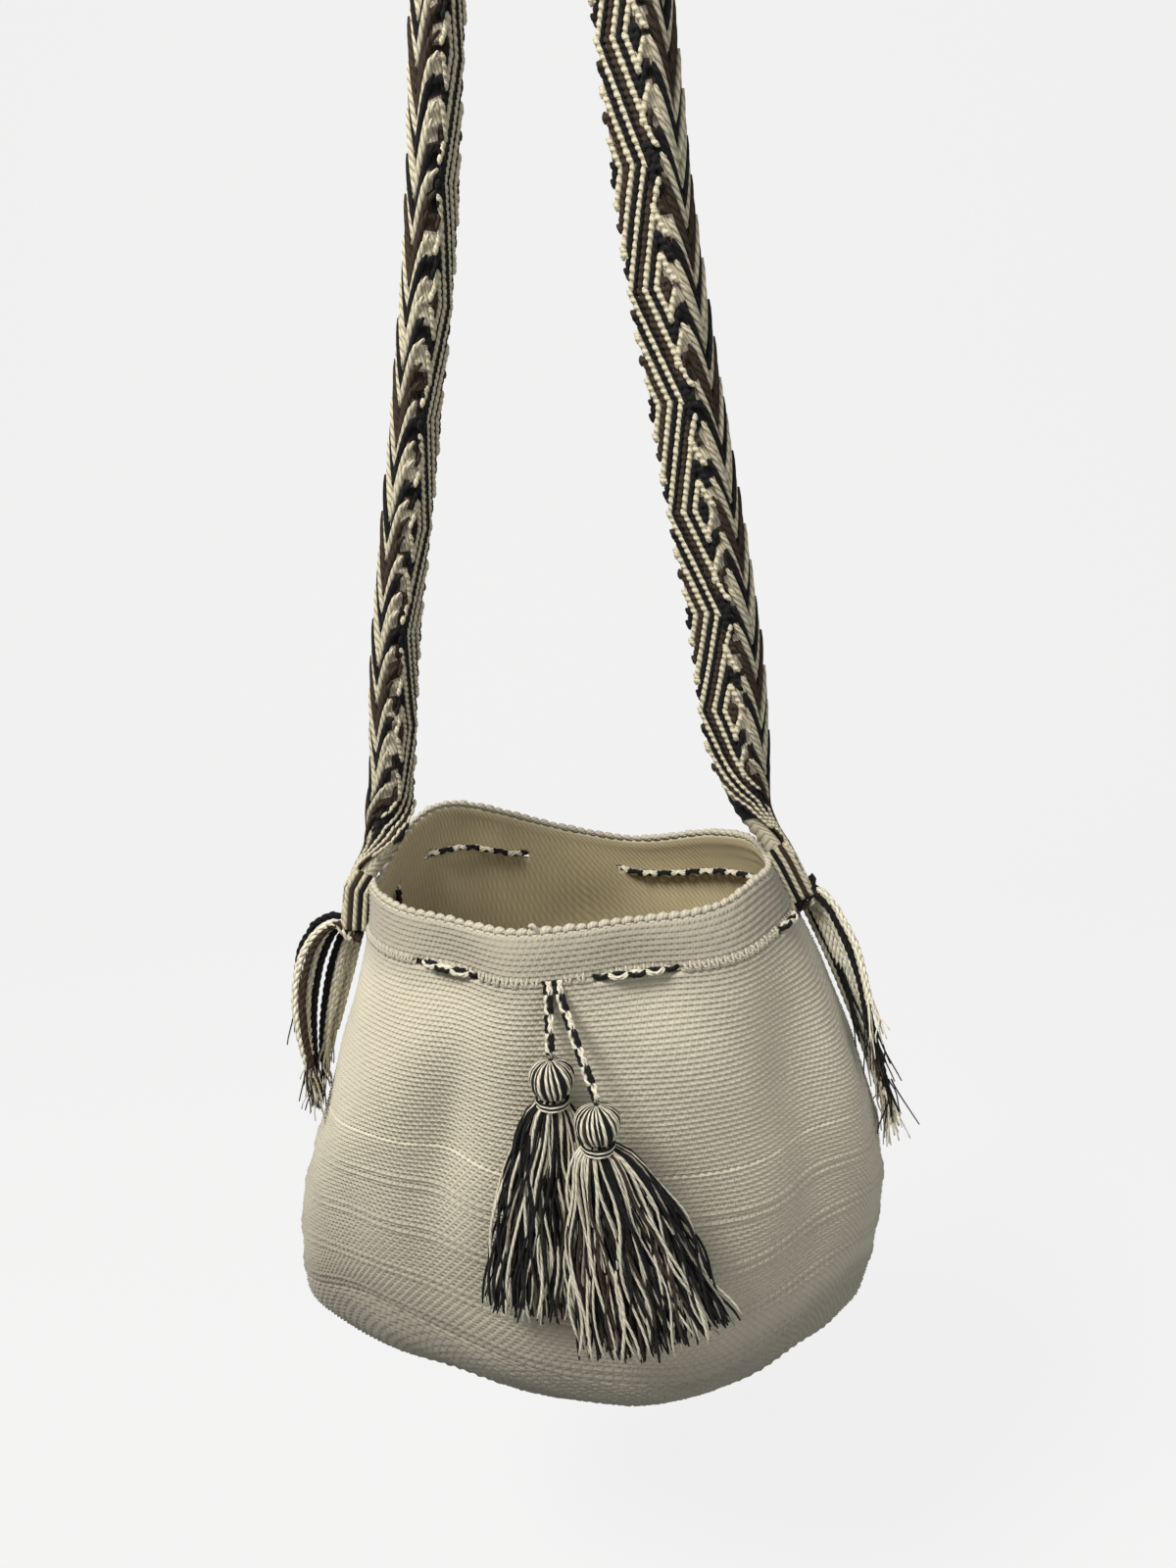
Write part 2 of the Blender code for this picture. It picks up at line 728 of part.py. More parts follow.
def folded(mid, width_way, crest, share, half_width, fold, lift):
    """A point of the folded band at a share of its width and a distance off its middle."""
    if share == 0.0:
        return mid + crest * lift / max(math.cos(fold), 0.4)
    turn = math.copysign(1.0, share)
    down = width_way * turn * math.cos(fold) - crest * math.sin(fold)
    normal = crest * math.cos(fold) + width_way * turn * math.sin(fold)
    edge = 0.75 if abs(share) == 1.0 else 1.0
    return mid + down * abs(share) * half_width + normal * lift * edge


def woven_relief(share, travelled):
    """Raised lines of the nested diamonds across the band."""
    phase = 2 * abs((travelled / DIAMOND_LENGTH) % 1.0 - 0.5)
    rings = math.cos(2 * math.pi * 1.5 * (abs(share) * 0.66 + phase))
    return STRAP_RELIEF * rings


def build_strap(collection, material):
    """One woven band from the left sewn end, over the support, to the right one."""
    left, right = strap_half(LEFT), strap_half(RIGHT)
    spacing = DIAMOND_LENGTH / 9
    lower_left = list(smooth_path(left + [support_arc()[0]], spacing))
    lower_right = list(smooth_path(right + [support_arc()[-1]], spacing))
    points = lower_left + support_arc()[1:-1] + lower_right[::-1]
    points = np.array(points)
    steps = np.linalg.norm(np.diff(points, axis=0), axis=1)
    travelled = np.concatenate(([0.0], np.cumsum(steps)))
    rings = []
    for i, point in enumerate(points):
        before, after = points[max(i - 1, 0)], points[min(i + 1, len(points) - 1)]
        tangent = (after - before) / np.linalg.norm(after - before)
        side = LEFT if point[0] < 0 else RIGHT
        foot_z = sewn_end(side, STRAP_SEWN_LENGTH)[2]
        height = point[2] - foot_z
        sewn_share = 1 - blend(height, 0.004, 0.085)
        fold_share = blend(height, 0.008, 0.058) * (1 - blend(point[2], -0.180, -0.040))
        rings.append(strap_section(point, tangent, side, travelled[i], sewn_share, fold_share))
    return add_mesh_object("strap", loft("strap", rings), collection, material)


# Fringe


def fringe_route(side, row, layer):
    """One loose warp cord: out of the strap's end, over in an arc, and down along the wall."""
    end = sewn_end(side, 0.0)
    down = end - sewn_end(side, STRAP_SEWN_LENGTH / 2)
    down /= np.linalg.norm(down)
    outwards = np.array((-side.sign * down[2], 0.0, side.sign * down[0]))
    shift = (row - 1.5) * FRINGE_PITCH
    start = end + down * 4 * REST_GAP + outwards * (layer - 0.5) * FRINGE_PITCH
    start[1] += shift
    points = [start, start + down * FRINGE_DIAMETER]
    reach = side.fringe_reach * (0.30 + 0.75 * layer)
    resting = COURSE_RELIEF + REST_GAP + FRINGE_DIAMETER * (0.5 + 1.15 * layer)
    leaving = COURSE_RELIEF + REST_GAP + SEWN_END_THICKNESS / 2 + (layer - 0.5) * FRINGE_PITCH
    length = FRINGE_LENGTH * (1 + 0.06 * ((row * 3 + layer * 2) % 4 - 1.5))
    degree = degree_length(side.angle, STRAP_SEWN_LENGTH)
    for share in (0.16, 0.34, 0.56, 0.78, 1.0):
        hump = math.sin(math.pi * min(1.0, share * 1.12)) ** 0.8 if share < 0.88 else 0.0
        lift = leaving + (resting - leaving) * share + reach * hump
        fan = 1 + 1.1 * blend(share, 0.0, 0.7)
        angle = side.angle + side.sign * shift * fan / degree + side.fringe_drift * share**1.4
        points.append(skin(angle, (STRAP_SEWN_LENGTH + length * share) / WALL_LENGTH, lift))
    return points


def build_fringe(side, collection, materials):
    """Eight plied cords in two layers at one end of the strap."""
    for number in range(8):
        row, layer = number % 4, number // 4
        points = smooth_path(fringe_route(side, row, layer), 3.0 * FRINGE_DIAMETER)
        name = f"{side.name}_fringe_cord_{number + 1}"
        colour = FRINGE_COLOURS[number]
        tube(name, points, FRINGE_DIAMETER, collection, materials[colour])


def main():
    clear_scene()
    collection = new_collection("drawstring_shoulder_bag")
    cutters = new_collection("cutters")
    cream = yarn_material("cream_crochet", CREAM)
    two_tone = yarn_material("black_and_cream_yarn", (0.30, 0.28, 0.24))
    woven = yarn_material("woven_strap_yarn", (0.26, 0.22, 0.17))
    fringe = {
        CREAM: yarn_material("cream_fringe", CREAM),
        BLACK: yarn_material("black_fringe", BLACK),
        BROWN: yarn_material("brown_fringe", BROWN),
    }
    build_bag(collection, cutters, cream)
    build_drawstring(collection, two_tone)
    for tassel in (LEFT_TASSEL, RIGHT_TASSEL):
        hanging = [
            build_cord_end(tassel, collection, two_tone),
            build_tassel(tassel, collection, two_tone),
            build_binding(tassel, collection, cream),
        ]
        hang_on(f"{tassel.name}_swing", cord_pivot(tassel), hanging, collection)
    build_strap(collection, woven)
    for side in (LEFT, RIGHT):
        build_fringe(side, collection, fringe)


main()
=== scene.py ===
"""Looks of a crocheted drawstring shoulder bag with a woven strap, fringes and tassels.

Every piece is made in the row frame, in metres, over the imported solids. Shapes that the
solids hold repeat their rules and values here, so that yarn lies where its solid does.
"""

import logging
import math
from dataclasses import dataclass, field
from enum import Enum

import bmesh
import bpy
import numpy as np
from mathutils import Matrix


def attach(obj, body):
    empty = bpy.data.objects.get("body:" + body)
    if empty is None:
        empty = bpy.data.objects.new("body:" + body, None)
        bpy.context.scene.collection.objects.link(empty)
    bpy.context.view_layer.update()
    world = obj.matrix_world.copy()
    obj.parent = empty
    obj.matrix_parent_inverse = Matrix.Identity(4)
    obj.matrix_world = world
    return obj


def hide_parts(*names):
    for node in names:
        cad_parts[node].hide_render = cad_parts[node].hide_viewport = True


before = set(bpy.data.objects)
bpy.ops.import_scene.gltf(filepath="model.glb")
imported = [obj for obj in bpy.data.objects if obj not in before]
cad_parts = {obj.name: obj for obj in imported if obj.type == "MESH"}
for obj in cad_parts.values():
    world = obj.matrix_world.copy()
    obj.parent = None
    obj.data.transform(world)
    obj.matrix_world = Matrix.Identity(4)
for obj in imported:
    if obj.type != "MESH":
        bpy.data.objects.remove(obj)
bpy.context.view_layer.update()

LOG = logging.getLogger("mochila")
UP = np.array((0.0, 0.0, 1.0))
FORWARD = np.array((0.0, 1.0, 0.0))
GOLDEN_ANGLE = 2.399963


class Body(Enum):
    """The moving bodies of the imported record."""

    BAG = "bag"
    LEFT_TASSEL = "left_tassel_body"
    RIGHT_TASSEL = "right_tassel_body"


class Tone(Enum):
    """Yarn colours, as the value of the tone attribute that the finishes read."""

    BLACK = 0.1
    BROWN = 0.4
    GREY = 0.6
    CREAM = 0.9


@dataclass(frozen=True)
class Wave:
    """A local swell of the wall: where it is, how wide, and how much."""

    angle: float
    width: float
    size: float


def unit(vectors: np.ndarray) -> np.ndarray:
    """Vectors of length one along the last axis."""
    length = np.linalg.norm(vectors, axis=-1, keepdims=True)
    return vectors / np.maximum(length, 1e-12)


def blend(value: np.ndarray, low: float, high: float) -> np.ndarray:
    """Smooth step from 0 at low to 1 at high."""
    share = np.clip((np.asarray(value, float) - low) / (high - low), 0.0, 1.0)
    return share * share * (3 - 2 * share)


def smooth_path(points: list, spacing: float) -> np.ndarray:
    """Evenly spaced points on the smooth curve through the given ones.

    Args:
        points: Points that the curve passes.
        spacing: Distance between the points returned.

    Returns:
        The points, as an array of rows.
    """
    given = [np.array(point, float) for point in points]
    ends = [2 * given[0] - given[1]] + given + [2 * given[-1] - given[-2]]
    fine, pieces = [], 16
    for a, b, c, d in zip(ends, ends[1:], ends[2:], ends[3:]):
        for t in np.arange(pieces) / pieces:
            fine.append(0.5 * (2 * b + (c - a) * t + (2 * a - 5 * b + 4 * c - d) * t**2
                               + (3 * b - a - 3 * c + d) * t**3))
    fine.append(given[-1])
    return even_path(np.array(fine), spacing)


def even_path(line: np.ndarray, spacing: float) -> np.ndarray:
    """The same line with points at even distances."""
    lengths = np.linalg.norm(np.diff(line, axis=0), axis=1)
    travelled = np.concatenate(([0.0], np.cumsum(lengths)))
    count = max(3, round(travelled[-1] / spacing) + 1)
    wanted = np.linspace(0.0, travelled[-1], count)
    return np.column_stack([np.interp(wanted, travelled, line[:, k]) for k in range(3)])


def path_length(line: np.ndarray) -> float:
    """Length of a line of points."""
    return float(np.linalg.norm(np.diff(line, axis=0), axis=1).sum())


def frames_along(paths: np.ndarray) -> tuple[np.ndarray, np.ndarray, np.ndarray]:
    """Tangents and two untwisted side directions along each of several lines.

    Args:
        paths: Lines, as lines by points by three.

    Returns:
        Tangents, first and second side directions, each shaped as the paths.
    """
    tangents = unit(np.gradient(paths, axis=1))
    start = tangents[:, 0]
    helper = np.where(np.abs(start[:, 2:3]) < 0.9, UP, np.array((1.0, 0.0, 0.0)))
    side = unit(np.cross(start, helper))
    sides = np.empty_like(paths)
    for i in range(paths.shape[1]):
        along = tangents[:, i]
        side = unit(side - along * (side * along).sum(-1, keepdims=True))
        sides[:, i] = side
    return tangents, sides, np.cross(tangents, sides)


@dataclass
class YarnSet:
    """Closed round yarns, gathered into one mesh with a tone for each."""

    name: str
    sides: int = 6
    points: list = field(default_factory=list)
    quads: list = field(default_factory=list)
    fans: list = field(default_factory=list)
    quad_maps: list = field(default_factory=list)
    fan_maps: list = field(default_factory=list)
    tones: list = field(default_factory=list)
    total: int = 0

    TIP_LENGTH = 0.6

    def add(self, paths: np.ndarray, radii: np.ndarray | float, tones: np.ndarray | float) -> None:
        """Adds yarns of equally many points.

        Args:
            paths: Centre lines, as yarns by points by three.
            radii: One radius, or one for each yarn and point.
            tones: One tone, or one for each yarn.
        """
        count, steps = paths.shape[:2]
        radii = np.broadcast_to(radii, (count, steps))
        tangents, first, second = frames_along(paths)
        turn = 2 * math.pi * np.arange(self.sides) / self.sides
        around = first[:, :, None] * np.cos(turn)[:, None] + second[:, :, None] * np.sin(turn)[:, None]
        rings = paths[:, :, None] + around * radii[:, :, None, None]
        reach = tangents[:, (0, -1)] * radii[:, (0, -1), None] * self.TIP_LENGTH
        tips = paths[:, (0, -1)] + reach * np.array((-1.0, 1.0))[:, None]
        block = np.concatenate((rings.reshape(count, -1, 3), tips), axis=1)
        size = block.shape[1]
        base = self.total + size * np.arange(count)[:, None, None]
        ring = np.arange(steps - 1)[:, None] * self.sides
        j = np.arange(self.sides)
        k = (j + 1) % self.sides
        quads = np.stack((ring + j, ring + k, ring + self.sides + k, ring + self.sides + j), -1)
        self.quads.append((base[..., None] + quads[None]).reshape(-1, 4))
        last = (steps - 1) * self.sides
        caps = ((k, j, size - 2), (last + j, last + k, size - 1))
        fans = np.concatenate([np.stack(np.broadcast_arrays(*cap), -1) for cap in caps])
        self.fans.append((base + fans[None]).reshape(-1, 3))
        lengths = np.linalg.norm(np.diff(paths, axis=1), axis=2)
        run = np.concatenate((np.zeros((count, 1)), np.cumsum(lengths, 1)), 1)
        u0, u1 = j / self.sides, (j + 1) / self.sides
        low, high = run[:, :-1, None], run[:, 1:, None]
        shape = (count, steps - 1, self.sides)
        corner_u = np.stack([np.broadcast_to(u, shape) for u in (u0, u1, u1, u0)], -1)
        corner_v = np.stack([np.broadcast_to(v, shape) for v in (low, low, high, high)], -1)
        self.quad_maps.append(np.stack((corner_u, corner_v), -1).reshape(-1, 2))
        self.fan_maps.append(np.zeros((count * fans.size, 2)))
        self.points.append(block.reshape(-1, 3))
        self.tones.append(np.repeat(np.broadcast_to(np.asarray(tones, float), count), size))
        self.total += count * size

    def mesh(self) -> bpy.types.Mesh:
        """The gathered yarns as one mesh with a yarn map and a tone attribute."""
        faces = np.concatenate(self.quads).tolist() + np.concatenate(self.fans).tolist()
        mesh = bpy.data.meshes.new(self.name)
        mesh.from_pydata(np.concatenate(self.points).tolist(), [], faces)
        add_map(mesh, np.concatenate(self.quad_maps + self.fan_maps))
        add_values(mesh, "tone", np.concatenate(self.tones))
        mesh.shade_smooth()
        return mesh


def add_values(mesh: bpy.types.Mesh, name: str, values: np.ndarray) -> None:
    """Stores one number or vector for each point of a mesh.

    Args:
        mesh: The mesh.
        name: Name of the attribute.
        values: One row for each point.
    """
    kind = "FLOAT_VECTOR" if values.ndim == 2 else "FLOAT"
    attribute = mesh.attributes.new(name, kind, "POINT")
    key = "vector" if values.ndim == 2 else "value"
    attribute.data.foreach_set(key, np.ascontiguousarray(values, np.float32).ravel())


def add_map(mesh: bpy.types.Mesh, corners: np.ndarray) -> None:
    """Stores the yarn map, with one row for each corner of the faces."""
    layer = mesh.uv_layers.new(name="yarn")
    layer.data.foreach_set("uv", corners.astype(np.float32).ravel())


def corner_points(mesh: bpy.types.Mesh) -> np.ndarray:
    """Number of the point at each corner of the faces."""
    points = np.empty(len(mesh.loops), np.int32)
    mesh.loops.foreach_get("vertex_index", points)
    return points


def quads_round(index: np.ndarray) -> np.ndarray:
    """Faces between each ring of point numbers and the next, and from the last to the first."""
    below = np.roll(index, -1, axis=0)
    return np.stack((index, np.roll(index, -1, 1), np.roll(below, -1, 1), below), -1)


def closed_mesh(name: str, points: np.ndarray, faces: list) -> bpy.types.Mesh:
    """A smooth closed mesh with every face turned outwards."""
    mesh = bpy.data.meshes.new(name)
    mesh.from_pydata(points.tolist(), [], faces)
    form = bmesh.new()
    form.from_mesh(mesh)
    bmesh.ops.recalc_face_normals(form, faces=form.faces)
    form.to_mesh(mesh)
    form.free()
    mesh.shade_smooth()
    return mesh


def add_piece(name: str, mesh: bpy.types.Mesh, material: bpy.types.Material, body: Body,
              nodes: tuple = ()) -> bpy.types.Object:
    """Puts a finished mesh in the scene as a piece.

    Args:
        name: Name of the piece.
        mesh: Its mesh, in the row frame.
        material: Its material.
        body: The body that it rides on.
        nodes: Solids that it stands for.

    Returns:
        The piece.
    """
    item = bpy.data.objects.new(name, mesh)
    bpy.context.scene.collection.objects.link(item)
    mesh.materials.clear()
    mesh.materials.append(material)
    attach(item, body.value)
    if nodes:
        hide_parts(*nodes)
    mesh.calc_loop_triangles()
    LOG.info("%s: %d triangles", name, len(mesh.loop_triangles))
    return item


@dataclass
class ShaderTree:
    """Short calls for building a node tree."""

    tree: bpy.types.NodeTree

    def node(self, kind: str, **settings) -> bpy.types.Node:
        """A new node with its settings."""
        item = self.tree.nodes.new(kind)
        for name, value in settings.items():
            setattr(item, name, value)
        return item

    def link(self, source, target) -> None:
        """Joins an output to an input."""
        self.tree.links.new(source, target)

    def math(self, operation: str, first, second=None) -> bpy.types.NodeSocket:
        """A Math node on sockets or numbers.

        Args:
            operation: Blender's name of the sum.
            first: Socket or number.
            second: Socket or number, where the sum takes two.

        Returns:
            The result's socket.
        """
        item = self.node("ShaderNodeMath", operation=operation)
        for spot, value in zip(item.inputs, (first, second)):
            if value is None:
                continue
            if isinstance(value, (int, float)):
                spot.default_value = value
            else:
                self.link(value, spot)
        return item.outputs[0]

    def plus(self, first, second) -> bpy.types.NodeSocket:
        """The sum of two sockets or numbers."""
        return self.math("ADD", first, second)

    def less(self, first, second) -> bpy.types.NodeSocket:
        """The first socket or number less the second."""
        return self.math("SUBTRACT", first, second)

    def times(self, first, second) -> bpy.types.NodeSocket:
        """The product of two sockets or numbers."""
        return self.math("MULTIPLY", first, second)

    def attribute(self, name: str) -> bpy.types.NodeSocket:
        """A point attribute's value."""
        return self.node("ShaderNodeAttribute", attribute_name=name).outputs["Fac"]

    def noise(self, place, scale: float, detail: float) -> bpy.types.NodeSocket:
        """A Noise Texture's value at a place."""
        item = self.node("ShaderNodeTexNoise")
        item.inputs["Scale"].default_value = scale
        item.inputs["Detail"].default_value = detail
        self.link(place, item.inputs["Vector"])
        return item.outputs["Fac"]

    def tint(self, factor, first, second, blend_type: str = "MIX") -> bpy.types.NodeSocket:
        """A colour Mix node.

        Args:
            factor: Socket or number.
            first: Socket or colour.
            second: Socket or colour.
            blend_type: Blender's name of the way to mix.

        Returns:
            The colour's socket.
        """
        item = self.node("ShaderNodeMix", data_type="RGBA", blend_type=blend_type)
        spots = (item.inputs[0], item.inputs[6], item.inputs[7])
        for spot, value in zip(spots, (factor, first, second)):
            if isinstance(value, (int, float)):
                spot.default_value = value
            elif isinstance(value, tuple):
                spot.default_value = (*value, 1.0)
            else:
                self.link(value, spot)
        return item.outputs[2]


def new_tree(name: str, kind: str, inputs: tuple, outputs: tuple) -> bpy.types.NodeTree:
    """A node tree with its sockets.

    Args:
        name: Name of the tree.
        kind: Blender's name of the kind of tree.
        inputs: Name and kind of each input.
        outputs: Name and kind of each output.

    Returns:
        The tree.
    """
    tree = bpy.data.node_groups.new(name, kind)
    for way, sockets in (("INPUT", inputs), ("OUTPUT", outputs)):
        for label, socket in sockets:
            tree.interface.new_socket(label, in_out=way, socket_type=socket)
    return tree


class PliedYarn:
    """Shader node group: painted shade in the lines between a yarn's plies, its fibres and its patchy dye."""

    NAME = "plied_yarn"
    INPUTS = (
        ("Strand", "NodeSocketVector"),
        ("Place", "NodeSocketVector"),
        ("Yarn", "NodeSocketColor"),
        ("Plies", "NodeSocketFloat"),
        ("Ply Length", "NodeSocketFloat"),
        ("Depth", "NodeSocketFloat"),
        ("Patchiness", "NodeSocketFloat"),
    )
    OUTPUTS = (
        ("Colour", "NodeSocketColor"),
        ("Rough", "NodeSocketFloat"),
        ("Height", "NodeSocketFloat"),
    )
    FIBRE_SCALE = 2600.0
    FIBRE_HEIGHT = 0.45
    FIBRE_SHADE = 0.35
    PATCH_SCALE = 55.0
    DETAIL = 3.0
    ROUNDNESS = 0.6
    ROUGHNESS = 0.78
    FIBRE_ROUGHNESS = 0.2

    @classmethod
    def group(cls) -> bpy.types.NodeTree:
        """The group, built once."""
        found = bpy.data.node_groups.get(cls.NAME)
        if found:
            return found
        tree = new_tree(cls.NAME, "ShaderNodeTree", cls.INPUTS, cls.OUTPUTS)
        make = ShaderTree(tree)
        given = make.node("NodeGroupInput").outputs
        split = make.node("ShaderNodeSeparateXYZ")
        make.link(given["Strand"], split.inputs[0])
        turns = make.times(split.outputs[0], given["Plies"])
        run = make.math("DIVIDE", split.outputs[1], given["Ply Length"])
        phase = make.times(make.plus(turns, run), math.pi)
        ply = make.math("POWER", make.math("ABSOLUTE", make.math("SINE", phase)), cls.ROUNDNESS)
        fibre = make.noise(given["Place"], cls.FIBRE_SCALE, cls.DETAIL)
        patch = make.noise(given["Place"], cls.PATCH_SCALE, cls.DETAIL)
        # Painted shade: the colour darkens in the grooves between the plies.
        ply_shade = make.times(make.less(1.0, ply), given["Depth"])
        uneven = make.times(make.less(patch, 0.5), given["Patchiness"])
        hair = make.times(make.less(fibre, 0.5), cls.FIBRE_SHADE)
        light = make.plus(make.less(1.0, ply_shade), make.plus(uneven, hair))
        shade = make.node("ShaderNodeCombineColor")
        for spot in shade.inputs:
            make.link(light, spot)
        results = {
            "Colour": make.tint(1.0, given["Yarn"], shade.outputs[0], "MULTIPLY"),
            "Rough": make.plus(cls.ROUGHNESS, make.times(fibre, cls.FIBRE_ROUGHNESS)),
            "Height": make.plus(ply, make.times(fibre, cls.FIBRE_HEIGHT)),
        }
        out = make.node("NodeGroupOutput")
        for name, socket in results.items():
            make.link(socket, out.inputs[name])
        return tree


@dataclass(frozen=True)
class YarnFinish:
    """A finish of plied yarn: its colours by tone and the look of its plies."""

    name: str
    black: tuple = (0.009, 0.0085, 0.009)
    brown: tuple = (0.048, 0.032, 0.021)
    grey: tuple = (0.38, 0.34, 0.27)
    cream: tuple = (0.80, 0.75, 0.60)
    plies: float = 2.0
    ply_length: float = 0.005
    # Share of painted shade in the grooves between plies.
    depth: float = 0.45
    patchiness: float = 0.18
    bump: float = 0.0004
    sheen: float = 0.03

    SHEEN_ROUGHNESS = 0.6
    SPECULAR = 0.15
    BUMP_STRENGTH = 0.7

    def material(self) -> bpy.types.Material:
        """The material, built once for each finish."""
        found = bpy.data.materials.get(self.name)
        if found:
            return found
        material = bpy.data.materials.new(self.name)
        material.use_nodes = True
        make = ShaderTree(material.node_tree)
        shader = material.node_tree.nodes["Principled BSDF"].inputs
        shader["Sheen Weight"].default_value = self.sheen
        shader["Sheen Roughness"].default_value = self.SHEEN_ROUGHNESS
        shader["Specular IOR Level"].default_value = self.SPECULAR
        yarn = self.plied(make, self.dye_and_shade(make)).outputs
        make.link(self.paint_shade(make, yarn["Colour"]), shader["Base Color"])
        make.link(yarn["Rough"], shader["Roughness"])
        relief = make.node("ShaderNodeBump")
        relief.inputs["Strength"].default_value = self.BUMP_STRENGTH
        relief.inputs["Distance"].default_value = self.bump
        make.link(yarn["Height"], relief.inputs["Height"])
        make.link(relief.outputs[0], shader["Normal"])
        return material

    def dye_and_shade(self, make: ShaderTree) -> bpy.types.NodeSocket:
        """The yarn's own colour, by its tone, with no painted shade."""
        ramp = make.node("ShaderNodeValToRGB")
        ramp.color_ramp.interpolation = "CONSTANT"
        steps = ramp.color_ramp.elements
        steps[0].position, steps[0].color = 0.0, (*self.black, 1)
        steps[1].position, steps[1].color = 0.25, (*self.brown, 1)
        for place, colour in ((0.5, self.grey), (0.75, self.cream)):
            steps.new(place).color = (*colour, 1)
        make.link(make.attribute("tone"), ramp.inputs[0])
        return ramp.outputs["Color"]

    def plied(self, make: ShaderTree, colour: bpy.types.NodeSocket) -> bpy.types.Node:
        """The plied yarn group with this finish's values, on a colour."""
        group = make.node("ShaderNodeGroup", node_tree=PliedYarn.group())
        strand = make.node("ShaderNodeUVMap", uv_map="yarn")
        place = make.node("ShaderNodeTexCoord")
        make.link(strand.outputs[0], group.inputs["Strand"])
        make.link(place.outputs["Object"], group.inputs["Place"])
        make.link(colour, group.inputs["Yarn"])
        values = {"Plies": self.plies, "Ply Length": self.ply_length, "Depth": self.depth,
                  "Patchiness": self.patchiness}
        for name, value in values.items():
            group.inputs[name].default_value = value
        return group

    def paint_shade(self, make: ShaderTree, colour: bpy.types.NodeSocket) -> bpy.types.NodeSocket:
        """The yarn's colour with painted shade, which is none here."""
        return colour


@dataclass(frozen=True)
class CrochetFinish(YarnFinish):
    """Cream crochet, with painted shade: darker between its rows, greyer on the base and at the mouth, and
    darker and warmer inside.
    """

    # Painted shade: the grey that the base and the mouth turn towards.
    painted_shade_grey: tuple = (0.27, 0.255, 0.215)
    # Painted shade: the darker, warmer colour of the bag's inside face.
    inside: tuple = (0.60, 0.51, 0.31)
    # Painted shade: the darker colour in the gaps between stitches.
    painted_gap_shade: tuple = (0.36, 0.29, 0.17)

    def dye_and_shade(self, make: ShaderTree) -> bpy.types.NodeSocket:
        """Cream, and a darker, warmer tint inside, which is painted shade."""
        return make.tint(make.attribute("inside"), self.cream, self.inside)

    def paint_shade(self, make: ShaderTree, colour: bpy.types.NodeSocket) -> bpy.types.NodeSocket:
        """The colour with painted shade: greyer towards the base and at the mouth, and darker in the gaps
        between stitches.
        """
        # Painted shade in the gaps between stitches, stronger where the relief is lower.
        gap = make.node("ShaderNodeMapRange")
        reach = {"From Min": -1.0, "From Max": 0.35, "To Min": 0.75, "To Max": 0.0}
        for name, value in reach.items():
            gap.inputs[name].default_value = value
        make.link(make.attribute("relief"), gap.inputs["Value"])
        # Painted shade, greyer towards the base and at the mouth.
        with_painted_shade = make.tint(make.attribute("painted_shade"), colour, self.painted_shade_grey)
        return make.tint(gap.outputs[0], with_painted_shade, self.painted_gap_shade)


STRAP_CREAM = (0.66, 0.60, 0.44)
CREAM_CROCHET = CrochetFinish("cream_crochet_yarn", plies=1.0, ply_length=2.4, depth=0.20, sheen=0.12)
ROUND_CREAM = YarnFinish("cream_stitch_yarn", cream=(0.60, 0.555, 0.44), ply_length=0.35, depth=0.35,
                         bump=0.0003)
ROUND_BRAID = YarnFinish("round_braid_yarn", ply_length=0.0042)
TASSEL_YARN = YarnFinish("tassel_yarn", depth=0.5)
FRINGE_YARN = YarnFinish("fringe_yarn", ply_length=0.0046, depth=0.5)
FRAYED_YARN = YarnFinish("frayed_yarn", plies=1.0, ply_length=0.02, depth=0.1, bump=0.0001)
STRAP_YARN = YarnFinish("strap_yarn", cream=STRAP_CREAM, ply_length=0.0038, depth=0.5)
LINK_YARN = YarnFinish("strap_link_yarn", cream=STRAP_CREAM, ply_length=0.6, depth=0.35)
FLOAT_YARN = YarnFinish("strap_float_yarn", cream=STRAP_CREAM, plies=3.0, ply_length=0.0046,
                        depth=0.62, bump=0.0008)


